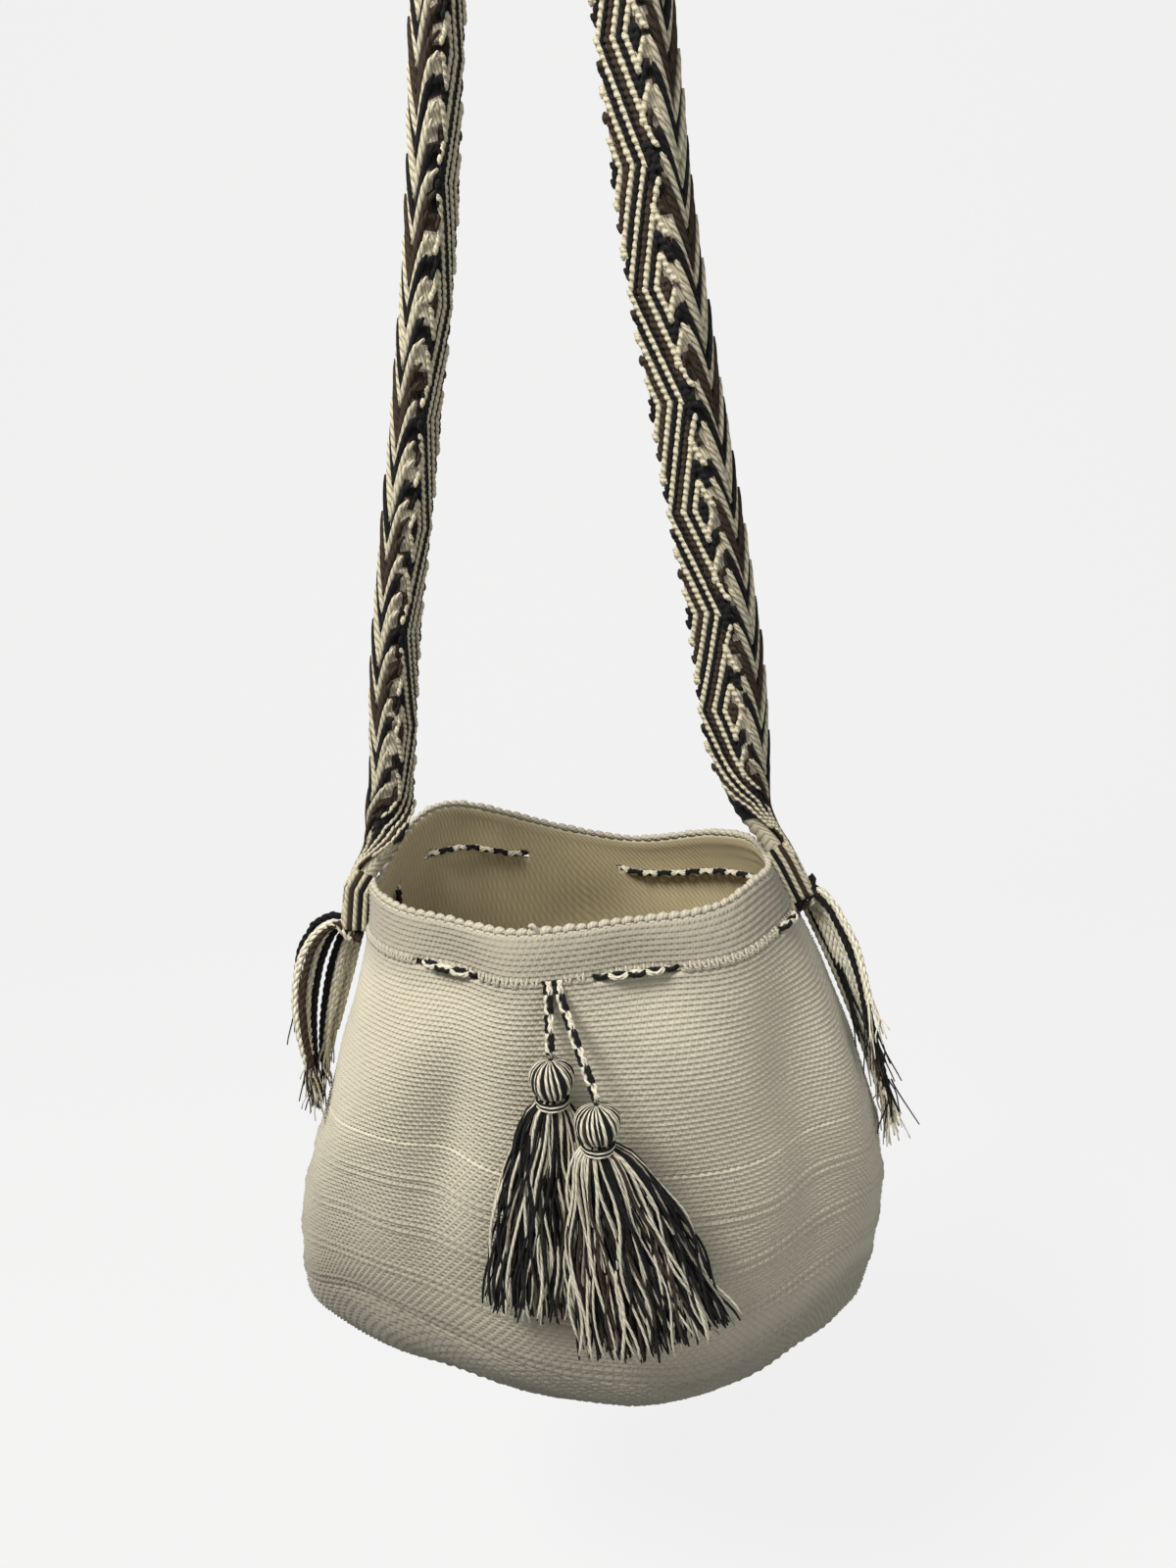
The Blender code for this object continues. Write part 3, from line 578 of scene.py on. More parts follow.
@dataclass(frozen=True)
class BagForm:
    """The bag's hung shape: wall and base, by the same rule as its solid."""

    rim_drop: float = 0.560
    rim_half_width: float = 0.100
    rim_half_depth: float = 0.074
    belly_half_width: float = 0.1585
    belly_half_depth: float = 0.081
    wall_length: float = 0.250
    thickness: float = 0.0028
    wall_fall: float = 0.96
    base_sag: float = 0.056
    lowest_x: float = 0.022
    front_flatness: float = 0.42
    cord_depth: float = 0.022
    course_relief: float = 0.0007
    rest_gap: float = 0.0005
    rim_waves: tuple = (
        Wave(133, 26, 0.017),
        Wave(70, 24, -0.011),
        Wave(-105, 22, -0.002),
        Wave(-30, 18, 0.004),
        Wave(172, 14, -0.009),
        Wave(20, 12, 0.002),
    )
    gathers: tuple = (
        Wave(-125, 13, -0.005),
        Wave(-104, 9, 0.003),
        Wave(-77, 12, -0.005),
        Wave(-50, 15, 0.004),
        Wave(92, 15, -0.004),
        Wave(122, 17, 0.004),
        Wave(45, 22, 0.004),
    )
    row_tilts: tuple = (
        Wave(-74, 28, -0.018),
        Wave(-136, 31, 0.027),
        Wave(-38, 23, 0.013),
        Wave(90, 60, -0.006),
    )
    wall_folds: tuple = (
        Wave(-118, 8, -0.0075),
        Wave(-101, 9, 0.0030),
        Wave(-47, 10, -0.0055),
        Wave(-27, 9, 0.0030),
        Wave(60, 14, -0.0060),
        Wave(128, 12, -0.0050),
    )

    @staticmethod
    def swell(angle: np.ndarray, waves: tuple) -> np.ndarray:
        """Sum of the waves at each angle."""
        total = np.zeros_like(angle)
        for wave in waves:
            gap = (angle - wave.angle + 180.0) % 360.0 - 180.0
            total = total + wave.size * np.exp(-((gap / wave.width) ** 2))
        return total

    def wall(self, angle: np.ndarray, depth: np.ndarray) -> np.ndarray:
        """Points of the wall's outer face, at a row's depth below the rim."""
        angle, depth = np.broadcast_arrays(np.asarray(angle, float), np.asarray(depth, float))
        share = np.clip(depth / self.wall_length, 0.0, 1.0)
        flare = np.sin(1.6 * share) ** 1.15
        tuck = 0.003 * share**12
        half_width = self.rim_half_width + (self.belly_half_width - self.rim_half_width) * flare - tuck
        swelling = np.sin(math.pi * share**0.6)
        half_depth = self.rim_half_depth + (self.belly_half_depth - self.rim_half_depth) * swelling - tuck
        centre_x = -0.002 + 0.009 * np.sin(math.pi * share**0.8)
        gather = self.swell(angle, self.gathers) * np.exp(-(((depth - self.cord_depth) / 0.032) ** 2))
        fold = self.swell(angle, self.wall_folds) * np.sin(math.pi * share) ** 2
        power = 2.0 / (2.12 + self.front_flatness * np.sin(math.pi * share))
        turn = np.radians(angle)
        cos, sin = np.cos(turn), np.sin(turn)
        x = centre_x + (half_width + gather + fold) * np.sign(cos) * np.abs(cos) ** power
        y = (half_depth + gather + fold) * np.sign(sin) * np.abs(sin) ** power
        z = -self.rim_drop - 0.003 - depth * self.wall_fall
        z = z + self.swell(angle, self.rim_waves) * np.exp(-((depth / 0.05) ** 2))
        z = z + self.swell(angle, self.row_tilts) * share**1.5
        z = z + 0.007 * cos**2 * share**2
        return np.stack((x, y, z), axis=-1)

    def lowest(self) -> np.ndarray:
        """The base's lowest point."""
        fall = 0.003 + self.wall_length * self.wall_fall + self.base_sag
        return np.array((self.lowest_x, 0.0, -self.rim_drop - fall))

    def point(self, angle: np.ndarray, along: np.ndarray) -> np.ndarray:
        """Wall and base as one surface: along 0 to 1 down the wall, 1 to 2 across the base."""
        angle, along = np.broadcast_arrays(np.asarray(angle, float), np.asarray(along, float))
        wall = self.wall(angle, np.minimum(along, 1.0) * self.wall_length)
        share = np.clip(along - 1.0, 0.0, 1.0)
        inwards, sunk = np.cos(share * math.pi / 2), np.sin(share * math.pi / 2)
        low = self.lowest()
        x = low[0] + (wall[..., 0] - low[0]) * inwards
        z = wall[..., 2] + (low[2] - wall[..., 2]) * sunk
        return np.where(along[..., None] <= 1.0, wall, np.stack((x, wall[..., 1] * inwards, z), -1))

    def normal(self, angle: np.ndarray, along: np.ndarray) -> np.ndarray:
        """Unit normals that point out of the bag."""
        along = np.minimum(along, 1.97)
        low = np.maximum(along - 0.001, 0.0)
        down = self.point(angle, low + 0.002) - self.point(angle, low)
        side = self.point(angle + 0.5, along) - self.point(angle - 0.5, along)
        return unit(np.cross(down, side))

    def skin(self, angle, along, lift) -> np.ndarray:
        """Points that stand a distance off the outer face.

        Args:
            angle: Degrees round the bag, -90 at the front.
            along: 0 to 1 down the wall, 1 to 2 across the base.
            lift: Distance off the face.

        Returns:
            The points.
        """
        angle, along, lift = np.broadcast_arrays(
            np.asarray(angle, float), np.asarray(along, float), np.asarray(lift, float)
        )
        return self.point(angle, along) + self.normal(angle, along) * lift[..., None]

    def degree_length(self, angle: float, depth: float) -> float:
        """Length along a row for one degree round the bag."""
        return float(np.linalg.norm(self.wall(angle + 0.5, depth) - self.wall(angle - 0.5, depth)))

    def depth_at_height(self, angle: float, z: float) -> float:
        """Row depth where the wall passes a height."""
        low, high = 0.0, self.wall_length
        for _ in range(24):
            middle = (low + high) / 2
            if self.wall(angle, middle)[2] > z:
                low = middle
            else:
                high = middle
        return low

    def foremost(self, low_x: float, high_x: float, low_z: float, high_z: float) -> float:
        """The wall's smallest y within a window of the front, ridges included."""
        angles, shares = np.meshgrid(np.arange(-150, -30, 2.5), np.linspace(0.0, 1.0, 41))
        points = self.skin(angles, shares, self.course_relief).reshape(-1, 3)
        x, z = points[:, 0], points[:, 2]
        inside = (x >= low_x) & (x <= high_x) & (z >= low_z) & (z <= high_z)
        return float(points[inside, 1].min())


@dataclass(frozen=True)
class Eyelet:
    """A gap in the wall that the drawstring passes: its angle, width and rows."""

    angle: float
    width: float
    first_row: float
    last_row: float


@dataclass
class CrochetBag:
    """The crocheted wall, base and rim.

    Attributes:
        raised_rows: Rows that lie between two smooth raised ones.
        sags: Sizes of the wall's soft and fine swells.
        base_painted_shade: Shares of painted shade grey towards the base, each with the rows between which it
            sets in.
        mouth_painted_shade: The share of painted shade grey at the mouth, with the rows between which it
            fades.
    """

    form: BagForm
    stitches: int = 232
    columns: int = 3
    rows: int = 92
    seam_row: int = 46
    base_rows: int = 40
    row_relief: float = 0.00085
    stitch_relief: float = 0.00050
    slant: float = 0.42
    raised_rows: tuple = (55.5, 66.5, 78.5, 89.5)
    raised_width: float = 0.6
    raised_lift: float = 0.0005
    wobble: float = 0.00012
    inner_relief: float = 0.0002
    sags: tuple = (0.0011, 0.0006)
    crown_lift: float = 0.0010
    crown_relief: float = 0.0006
    pole_reach: float = 0.985
    eyelet_angles: tuple = (-86.8, -68.9, -31, -12, 79, 105, 140, 158, 226.4, 245.2)
    eyelet_width: float = 0.0054
    front_angle: float = -95.3
    front_width: float = 0.0080
    scallop_pitch: float = 0.0053
    post_pitch: float = 1.45
    post_gap: float = 0.0005
    post_size: tuple = (0.0040, 0.0040, 0.0050)
    base_columns: float = 1.5
    # Painted shade: grey shares that darken the base and the mouth.
    base_painted_shade: tuple = ((0.28, 42, 80), (0.42, 82, 96), (0.28, 96, 110))
    mouth_painted_shade: tuple = (0.56, 5, 16)

    def eyelets(self) -> list[Eyelet]:
        """All gaps: the threaded ones, and the front one that both ends leave."""
        found = [Eyelet(angle, self.eyelet_width, 7.5, 9.0) for angle in self.eyelet_angles]
        return found + [Eyelet(self.front_angle, self.front_width, 7.7, 9.2)]

    def relief(self, column: np.ndarray, row: np.ndarray) -> tuple[np.ndarray, np.ndarray]:
        """How far the stitches stand out.

        Args:
            column: Place along the row, in stitches.
            row: Place down the wall, in rows.

        Returns:
            Lift in metres, and the same as a share from -1 in a gap to 1 on a crest.
        """
        ridge = -np.cos(2 * math.pi * row)
        lens = np.cos(2 * math.pi * (column + self.slant * row))
        smooth = np.zeros_like(row)
        for raised in self.raised_rows:
            pair = np.minimum(np.abs(row - raised - 1.0), np.abs(row - raised + 1.0))
            smooth = np.maximum(smooth, np.exp(-((pair / self.raised_width) ** 2)))
        lens = lens * (1 - 0.75 * smooth)
        strength = 0.45 + 0.55 * (ridge + 1) / 2
        lift = self.row_relief * ridge * (1 + 0.5 * smooth) + self.stitch_relief * lens * strength
        wobble = self.wobble * np.sin(column * 1.7 + row * 2.9) + self.raised_lift * smooth
        share = np.clip(0.6 * ridge + 0.4 * lens * strength, -1, 1)
        return lift + wobble, share

    def sag(self, angle: np.ndarray, along: np.ndarray) -> np.ndarray:
        """Soft uneven swells of the hand-made wall, in metres."""
        turn = np.radians(angle)
        soft = np.sin(5 * turn + 6 * along + 0.7) * np.sin(9 * along + 2 * turn)
        fine = np.sin(13 * turn - 11 * along) * np.sin(17 * along + 1.3)
        rest = np.clip(along / 0.25, 0, 1) * np.clip((1.9 - along) / 0.3, 0, 1)
        return (self.sags[0] * soft + self.sags[1] * fine) * rest

    def outer(self, stitches: np.ndarray, rows: np.ndarray) -> tuple[np.ndarray, np.ndarray]:
        """Rings of the outer face and their relief."""
        column, row = np.meshgrid(stitches, rows)
        angle = 360.0 * column / self.stitches
        along = self.along(row)
        lift, share = self.relief(column, row)
        return self.form.skin(angle, along, lift + self.sag(angle, along)), share

    def inner(self, stitches: np.ndarray, rows: np.ndarray) -> tuple[np.ndarray, np.ndarray]:
        """Rings of the inner face and their relief."""
        column, row = np.meshgrid(stitches, rows)
        angle = 360.0 * column / self.stitches
        along = self.along(row)
        lens = np.cos(2 * math.pi * (column + 0.5 * np.round(row)))
        lift = -self.form.thickness - self.inner_relief * lens + self.sag(angle, along)
        return self.form.skin(angle, along, lift), 0.35 * lens

    def along(self, row: np.ndarray) -> np.ndarray:
        """Place down the bag of a row: 0 to 1 on the wall, 1 to 2 on the base."""
        below = (row - self.rows) / self.base_rows
        return np.where(row <= self.rows, row / self.rows, 1 + self.pole_reach * np.clip(below, 0, 1))

    def band(self, name: str, outer_rows: np.ndarray, inner_rows: np.ndarray, per_stitch: float,
             holes: list[Eyelet], rim: bool = False, pole: bool = False) -> bpy.types.Mesh:
        """A closed shell round the bag, between two rows.

        Args:
            name: Name of the mesh.
            outer_rows: Rows of the outer rings, in order along the section.
            inner_rows: Rows of the inner rings, continuing the section.
            per_stitch: Columns for each stitch.
            holes: Gaps to leave, with bridged edges.
            rim: Whether the section's turn at the first rows is the rounded rim.
            pole: Whether the shell closes at the lowest point.

        Returns:
            The mesh, with relief, inside and soil attributes and a yarn map.
        """
        count = round(self.stitches * per_stitch)
        stitches = np.arange(count) / per_stitch
        outside, outside_relief = self.outer(stitches, outer_rows)
        inside, inside_relief = self.inner(stitches, inner_rows)
        rings = [outside, inside]
        reliefs = [outside_relief, inside_relief]
        lining = [np.zeros_like(outside_relief), np.ones_like(inside_relief)]
        levels = [outer_rows, inner_rows]
        if rim:
            crown = 0.5 * (outside[-1] + inside[0]) + UP * self.crown_lift
            lens = 0.5 + 0.5 * np.cos(2 * math.pi * stitches)
            crown = crown + UP * self.crown_relief * lens[:, None]
            tops = (crown, 0.6 * lens, np.zeros(count), 0.0)
            for parts, top in zip((rings, reliefs, lining, levels), tops):
                parts.insert(1, np.array([top]))
        row_of = np.concatenate(levels)
        index = np.arange(len(row_of) * count).reshape(-1, count)
        keep = np.ones(index.shape, bool)
        split = len(outer_rows)
        bridges = [face for hole in holes for face in self.open_gap(hole, index, keep, row_of, split)]
        if pole:
            keep[split - 1] = False
        faces = quads_round(index)[keep].tolist() + bridges
        points = np.concatenate(rings).reshape(-1, 3)
        relief, lined = (np.concatenate(parts).ravel() for parts in (reliefs, lining))
        stitch_of = np.tile(stitches, len(row_of))
        row_of = np.repeat(row_of, count)
        if pole:
            low = self.form.lowest()
            points = np.concatenate((points, [low, low + UP * self.form.thickness]))
            for ring, tip in ((index[split - 1], index.size), (index[split], index.size + 1)):
                faces += [[int(a), int(b), tip] for a, b in zip(ring, np.roll(ring, -1))]
            relief, lined = np.append(relief, (0, 0)), np.append(lined, (0, 1))
            stitch_of = np.append(stitch_of, (0, 0))
            row_of = np.append(row_of, [self.rows + self.base_rows] * 2)
        mesh = closed_mesh(name, points, faces)
        self.dress(mesh, relief, lined, stitch_of, row_of)
        return mesh

    def open_gap(self, hole: Eyelet, index: np.ndarray, keep: np.ndarray, row_of: np.ndarray,
                 split: int) -> list[list[int]]:
        """Leaves out one gap's faces on both sides of the wall.

        Args:
            hole: The gap.
            index: Point numbers, ring by column.
            keep: Which faces stay, changed here.
            row_of: Row of each ring.
            split: How many rings are on the outer face.

        Returns:
            Faces that bridge the gap's edges.
        """
        count = index.shape[1]
        reach = 0.5 * hole.width / self.form.degree_length(hole.angle, self.form.cord_depth)
        start, end = (round((hole.angle + side * reach) * count / 360.0) for side in (-1, 1))
        columns = [column % count for column in range(start, end + 1)]
        rings = np.flatnonzero((row_of >= hole.first_row) & (row_of <= hole.last_row))
        outer, inner = rings[rings < split], rings[rings >= split]
        for side in (outer, inner):
            keep[np.ix_(side[:-1], columns[:-1])] = False
        faces = []
        for one, two in ((outer[0], inner[-1]), (outer[-1], inner[0])):
            for a, b in zip(columns, columns[1:]):
                faces.append(index[(one, one, two, two), (a, b, b, a)].tolist())
        return faces + [index[rings, column].tolist() for column in (columns[0], columns[-1])]

    def dress(self, mesh: bpy.types.Mesh, relief: np.ndarray, lined: np.ndarray,
              stitch: np.ndarray, row: np.ndarray) -> None:
        """Stores what the finish reads: relief, inside, the painted shade share, and a map in stitches and
        rows.
        """
        # Painted shade share: greyer towards the base and at the mouth, none on the inside face.
        size, low, high = self.mouth_painted_shade
        painted_shade = sum(share * blend(row, first, last) for share, first, last in self.base_painted_shade)
        painted_shade = (painted_shade + size * (1 - blend(row, low, high))) * (1 - lined)
        for name, values in (("relief", relief), ("inside", lined), ("painted_shade", painted_shade)):
            add_values(mesh, name, values)
        corners = corner_points(mesh)
        u = stitch[corners]
        starts = np.empty(len(mesh.polygons), np.int32)
        mesh.polygons.foreach_get("loop_start", starts)
        face_of = np.repeat(np.arange(len(starts)), np.diff(np.append(starts, len(corners))))
        highest = np.maximum.reduceat(u, starts)
        u = np.where(highest[face_of] - u > self.stitches / 2, u + self.stitches, u)
        add_map(mesh, np.stack((u, row[corners]), -1))

    def build(self) -> None:
        """Makes the three shells, the rim's scallops and the posts at the drawstring."""
        seam, last = self.seam_row, self.rows
        below = np.arange(last, last + self.base_rows + 0.25, 0.5)
        inner_top = np.array([0, 2, 4, 6, 7, 7.5, 9, 10, *range(12, seam + 1, 2)], float)
        shells = (
            ("crochet_upper", np.arange(seam, -0.25, -0.5), inner_top, self.columns, self.eyelets()),
            ("crochet_lower", np.arange(last, seam - 0.25, -0.5), np.arange(seam, last + 1, 4.6),
             self.columns, []),
            ("crochet_base", below, below[::-8], self.base_columns, []),
        )
        for name, *rows in shells:
            mesh = self.band(name, *rows, rim=name == "crochet_upper", pole=name == "crochet_base")
            add_piece(name, mesh, CREAM_CROCHET.material(), Body.BAG, ("bag_body",))
        self.build_rim()
        self.build_posts()

    def build_rim(self) -> None:
        """Scallops along the rim, each an arch of yarn."""
        arch = YarnSet("arch", 6)
        share = np.linspace(-0.5, 0.5, 6)
        line = np.stack((1.12 * share, 0.10 * np.cos(3 * share), 0.22 - 0.9 * share**2 + 0.34 * share), -1)
        arch.add(line[None], np.array([[0.10, 0.27, 0.34, 0.35, 0.28, 0.12]]), Tone.CREAM.value)
        low = np.stack((0.9 * share + 0.25, -0.16 + 0 * share, -0.16 - 0.30 * share), -1)
        arch.add(low[None], np.array([[0.08, 0.18, 0.22, 0.22, 0.18, 0.08]]), Tone.CREAM.value)
        angles = np.linspace(-180, 180, 720, endpoint=False)
        loop = self.form.skin(angles, 0.0, -self.form.thickness / 2)
        line = even_path(np.concatenate((loop, loop[:1])), self.scallop_pitch)[:-1]
        along = unit(np.roll(line, -1, 0) - np.roll(line, 1, 0))
        out = unit(np.cross(along, UP))
        up = unit(UP + 0.25 * out)
        size = np.full((len(line), 3), self.scallop_pitch) * (1.0, 1.0, 0.9)
        points = line + UP * 0.0012
        build_repeats("rim_scallops", arch, points, along, up, size, Tone.CREAM.value,
                      ROUND_CREAM, 0.12, 3)

        tail = YarnSet("rim_tail", 6)
        place = self.form.skin(-97.5, 0.0, -self.form.thickness / 2)
        lean = np.array(((0, 0, 0), (0, -0.0006, 0.0022), (-0.0008, -0.0012, 0.0046),
                         (-0.0022, -0.0010, 0.0058), (-0.0030, -0.0016, 0.0050)))
        tail.add(smooth_path(list(place + lean), 0.0008)[None], 0.0011, Tone.CREAM.value)
        add_piece("rim_tail", tail.mesh(), ROUND_CREAM.material(), Body.BAG)

    def build_posts(self) -> None:
        """Tall V stitches of the row that the drawstring runs through."""
        leg = YarnSet("post", 5)
        share = np.linspace(-0.5, 0.5, 5)
        for side in (-1, 1):
            line = np.stack((side * (0.08 + 0.30 * (share + 0.5)), 0.12 - 0.4 * share**2, share), -1)
            leg.add(line[None], np.array([[0.10, 0.19, 0.21, 0.19, 0.10]]), Tone.CREAM.value)
        pitch = 360.0 / self.stitches * self.post_pitch
        depth = self.form.cord_depth
        found = []
        for angle in np.arange(-180, 180, pitch):
            gaps = [abs((angle - e.angle + 180) % 360 - 180) * self.form.degree_length(e.angle, depth) -
                    e.width / 2 for e in self.eyelets()]
            if min(gaps) > self.post_gap:
                found.append(angle)
        angles = np.array(found)
        level = self.form.cord_depth / self.form.wall_length
        place = self.form.skin(angles, level, 0.0002)
        out = self.form.normal(angles, np.full_like(angles, level))
        down = unit(self.form.point(angles, level + 0.01) - self.form.point(angles, level - 0.01))
        along = unit(np.cross(out, -down))
        size = np.tile(self.post_size, (len(angles), 1))
        build_repeats("drawstring_posts", leg, place, along, -down, size, Tone.CREAM.value,
                      ROUND_CREAM, 0.08, 5)


class RepeatTree:
    """Geometry Nodes tree: one link at each point, turned and sized by the point's values."""

    NAME = "repeat_links"
    INPUTS = (
        ("Points", "NodeSocketGeometry"),
        ("Link", "NodeSocketObject"),
        ("Unevenness", "NodeSocketFloat"),
        ("Seed", "NodeSocketInt"),
        ("Finish", "NodeSocketMaterial"),
    )

    @classmethod
    def tree(cls) -> bpy.types.NodeTree:
        """The tree, built once."""
        found = bpy.data.node_groups.get(cls.NAME)
        if found:
            return found
        tree = new_tree(cls.NAME, "GeometryNodeTree", cls.INPUTS, (("Mesh", "NodeSocketGeometry"),))
        make = ShaderTree(tree)
        given = make.node("NodeGroupInput").outputs
        vectors = {}
        for name in ("along", "up", "size"):
            item = make.node("GeometryNodeInputNamedAttribute", data_type="FLOAT_VECTOR")
            item.inputs["Name"].default_value = name
            vectors[name] = item.outputs["Attribute"]
        first = make.node("FunctionNodeAlignRotationToVector", axis="X")
        make.link(vectors["along"], first.inputs["Vector"])
        second = make.node("FunctionNodeAlignRotationToVector", axis="Z", pivot_axis="X")
        make.link(first.outputs[0], second.inputs["Rotation"])
        make.link(vectors["up"], second.inputs["Vector"])
        chance = make.node("FunctionNodeRandomValue", data_type="FLOAT")
        make.link(make.less(1.0, given["Unevenness"]), chance.inputs[2])
        make.link(make.plus(1.0, given["Unevenness"]), chance.inputs[3])
        make.link(given["Seed"], chance.inputs["Seed"])
        scaled = make.node("ShaderNodeVectorMath", operation="SCALE")
        make.link(vectors["size"], scaled.inputs[0])
        make.link(chance.outputs[1], scaled.inputs["Scale"])
        link = make.node("GeometryNodeObjectInfo")
        make.link(given["Link"], link.inputs["Object"])
        placed = make.node("GeometryNodeInstanceOnPoints")
        make.link(given["Points"], placed.inputs["Points"])
        make.link(link.outputs["Geometry"], placed.inputs["Instance"])
        make.link(second.outputs[0], placed.inputs["Rotation"])
        make.link(scaled.outputs[0], placed.inputs["Scale"])
        real = make.node("GeometryNodeRealizeInstances")
        dress = make.node("GeometryNodeSetMaterial")
        make.link(placed.outputs[0], real.inputs[0])
        make.link(real.outputs[0], dress.inputs["Geometry"])
        make.link(given["Finish"], dress.inputs["Material"])
        make.link(dress.outputs[0], make.node("NodeGroupOutput").inputs[0])
        return tree


def build_repeats(name: str, link: YarnSet, points: np.ndarray, along: np.ndarray, up: np.ndarray,
                  size: np.ndarray, tones: np.ndarray | float, finish: YarnFinish,
                  unevenness: float, seed: int, nodes: tuple = ()) -> bpy.types.Object:
    """Places a link at every point with Geometry Nodes and keeps the result as a plain mesh.

    Args:
        name: Name of the piece.
        link: The repeated shape, one unit large.
        points: Where each link goes.
        along: Direction of each link's X axis.
        up: Direction of each link's Z axis, as near as X allows.
        size: Size of each link along its three axes.
        tones: One tone, or one for each link.
        finish: The finish.
        unevenness: Random share of the size.
        seed: Seed of that.
        nodes: Solids that it stands for.

    Returns:
        The piece.
    """
    shape_mesh = link.mesh()
    shape_mesh.attributes.remove(shape_mesh.attributes["tone"])
    shape = bpy.data.objects.new(f"{name}_link", shape_mesh)
    bpy.context.scene.collection.objects.link(shape)
    spots = bpy.data.meshes.new(f"{name}_spots")
    spots.from_pydata(points.tolist(), [], [])
    tones = np.broadcast_to(tones, len(points))
    for label, values in (("along", along), ("up", up), ("size", size), ("tone", tones)):
        add_values(spots, label, np.asarray(values, float))
    holder = bpy.data.objects.new(f"{name}_spots", spots)
    bpy.context.scene.collection.objects.link(holder)
    tree = RepeatTree.tree()
    modifier = holder.modifiers.new("repeats", "NODES")
    modifier.node_group = tree
    values = {"Link": shape, "Unevenness": unevenness, "Seed": seed, "Finish": finish.material()}
    for item in tree.interface.items_tree:
        if item.in_out == "INPUT" and item.name in values:
            modifier[item.identifier] = values[item.name]
    bpy.context.view_layer.update()
    graph = bpy.context.evaluated_depsgraph_get()
    mesh = bpy.data.meshes.new_from_object(holder.evaluated_get(graph))
    mesh.name = name
    for label in ("along", "up", "size"):
        if label in mesh.attributes:
            mesh.attributes.remove(mesh.attributes[label])
    holder.modifiers.remove(modifier)
    for item in (holder, shape):
        bpy.data.objects.remove(item, do_unlink=True)
    mesh.shade_smooth()
    return add_piece(name, mesh, finish.material(), Body.BAG, nodes)


@dataclass
class Braid:
    """A round braid of four strands, each of two yarns side by side."""

    diameter: float = 0.0044
    turn_length: float = 0.01650
    step: float = 0.0011
    yarn_share: float = 0.165
    weave_share: float = 0.11
    sink_share: float = 0.07
    pair_turn: float = 0.36

    def add_to(self, yarns: YarnSet, line: np.ndarray) -> None:
        """Braids four strands round a line and adds them to a set."""
        line = even_path(line, self.step)
        _, first, second = frames_along(line[None])
        run = np.arange(len(line)) * self.step
        yarn = self.diameter * self.yarn_share
        lie = self.diameter / 2 - yarn
        for number, tone in enumerate((Tone.BLACK, Tone.CREAM, Tone.BLACK, Tone.CREAM)):
            way = 1 if number < 2 else -1
            start = math.pi * (number % 2) + (0.0 if way > 0 else math.pi / 2)
            over = self.weave_share * self.diameter * np.cos(4 * math.pi * run / self.turn_length) * way
            reach = (lie - self.sink_share * self.diameter + over)[:, None]
            for side in (-self.pair_turn, self.pair_turn):
                turn = way * 2 * math.pi * run / self.turn_length + start + side
                around = first[0] * np.cos(turn)[:, None] + second[0] * np.sin(turn)[:, None]
                yarns.add((line + around * reach)[None], yarn, tone.value)


@dataclass
class Drawstring:
    """The cord that is threaded round the mouth."""

    form: BagForm
    bag: CrochetBag
    braid: Braid
    crossing: float = 0.022
    clearance: float = 0.00145
    facets: int = 48

    def side(self, angle: float) -> float:
        """1 where the cord runs outside the wall, -1 inside, and a smooth pass at an eyelet."""
        stops = sorted((a, i % 2) for i, a in enumerate(self.bag.eyelet_angles))
        front = self.bag.front_angle
        stops = [(front, 1)] + stops + [(front + 360.0, 0)]
        nearest, inwards = min(stops, key=lambda stop: abs(stop[0] - angle))
        run = (angle - nearest) * self.form.degree_length(nearest, self.form.cord_depth)
        value = math.sin(max(-1.0, min(1.0, run / (self.crossing / 2))) * math.pi / 2)
        return -value if inwards else value

    def line(self) -> np.ndarray:
        """The cord's middle, once round the mouth."""
        form = self.form
        offset = form.thickness / 2 + self.braid.diameter / 2 + self.clearance
        margin = 0.95 * self.braid.diameter / form.degree_length(self.bag.front_angle, form.cord_depth)
        front = self.bag.front_angle
        angles = np.linspace(front + margin, front + 360.0 - margin, 900)
        lifts = np.array([self.side(a) * offset - form.thickness / 2 for a in angles])
        facet = 360.0 / self.facets
        before = np.floor(angles / facet) * facet
        share = ((angles - before) / facet)[:, None]
        level = form.cord_depth / form.wall_length
        return form.skin(before, level, lifts) * (1 - share) + form.skin(before + facet, level, lifts) * share

    def build(self) -> None:
        """Makes the threaded stretch."""
        yarns = YarnSet("drawstring_braid", 5)
        self.braid.add_to(yarns, self.line())
        add_piece("drawstring_braid", yarns.mesh(), ROUND_BRAID.material(), Body.BAG,
                  ("drawstring",))


@dataclass(frozen=True)
class TasselSize:
    """A tassel's place below the front eyelet and the spread of its skirt."""

    name: str
    body: Body
    side: int
    head_shift: float
    head_drop: float
    skirt_length: float
    skirt_lean: float
    skirt_half_width: float
    seed: int


LEFT_TASSEL = TasselSize(
    name="left_tassel", body=Body.LEFT_TASSEL, side=-1, head_shift=-0.002, head_drop=0.040,
    skirt_length=0.130, skirt_lean=-0.009, skirt_half_width=0.031, seed=11,
)
RIGHT_TASSEL = TasselSize(
    name="right_tassel", body=Body.RIGHT_TASSEL, side=1, head_shift=0.0175, head_drop=0.055,
    skirt_length=0.127, skirt_lean=0.024, skirt_half_width=0.040, seed=12,
)


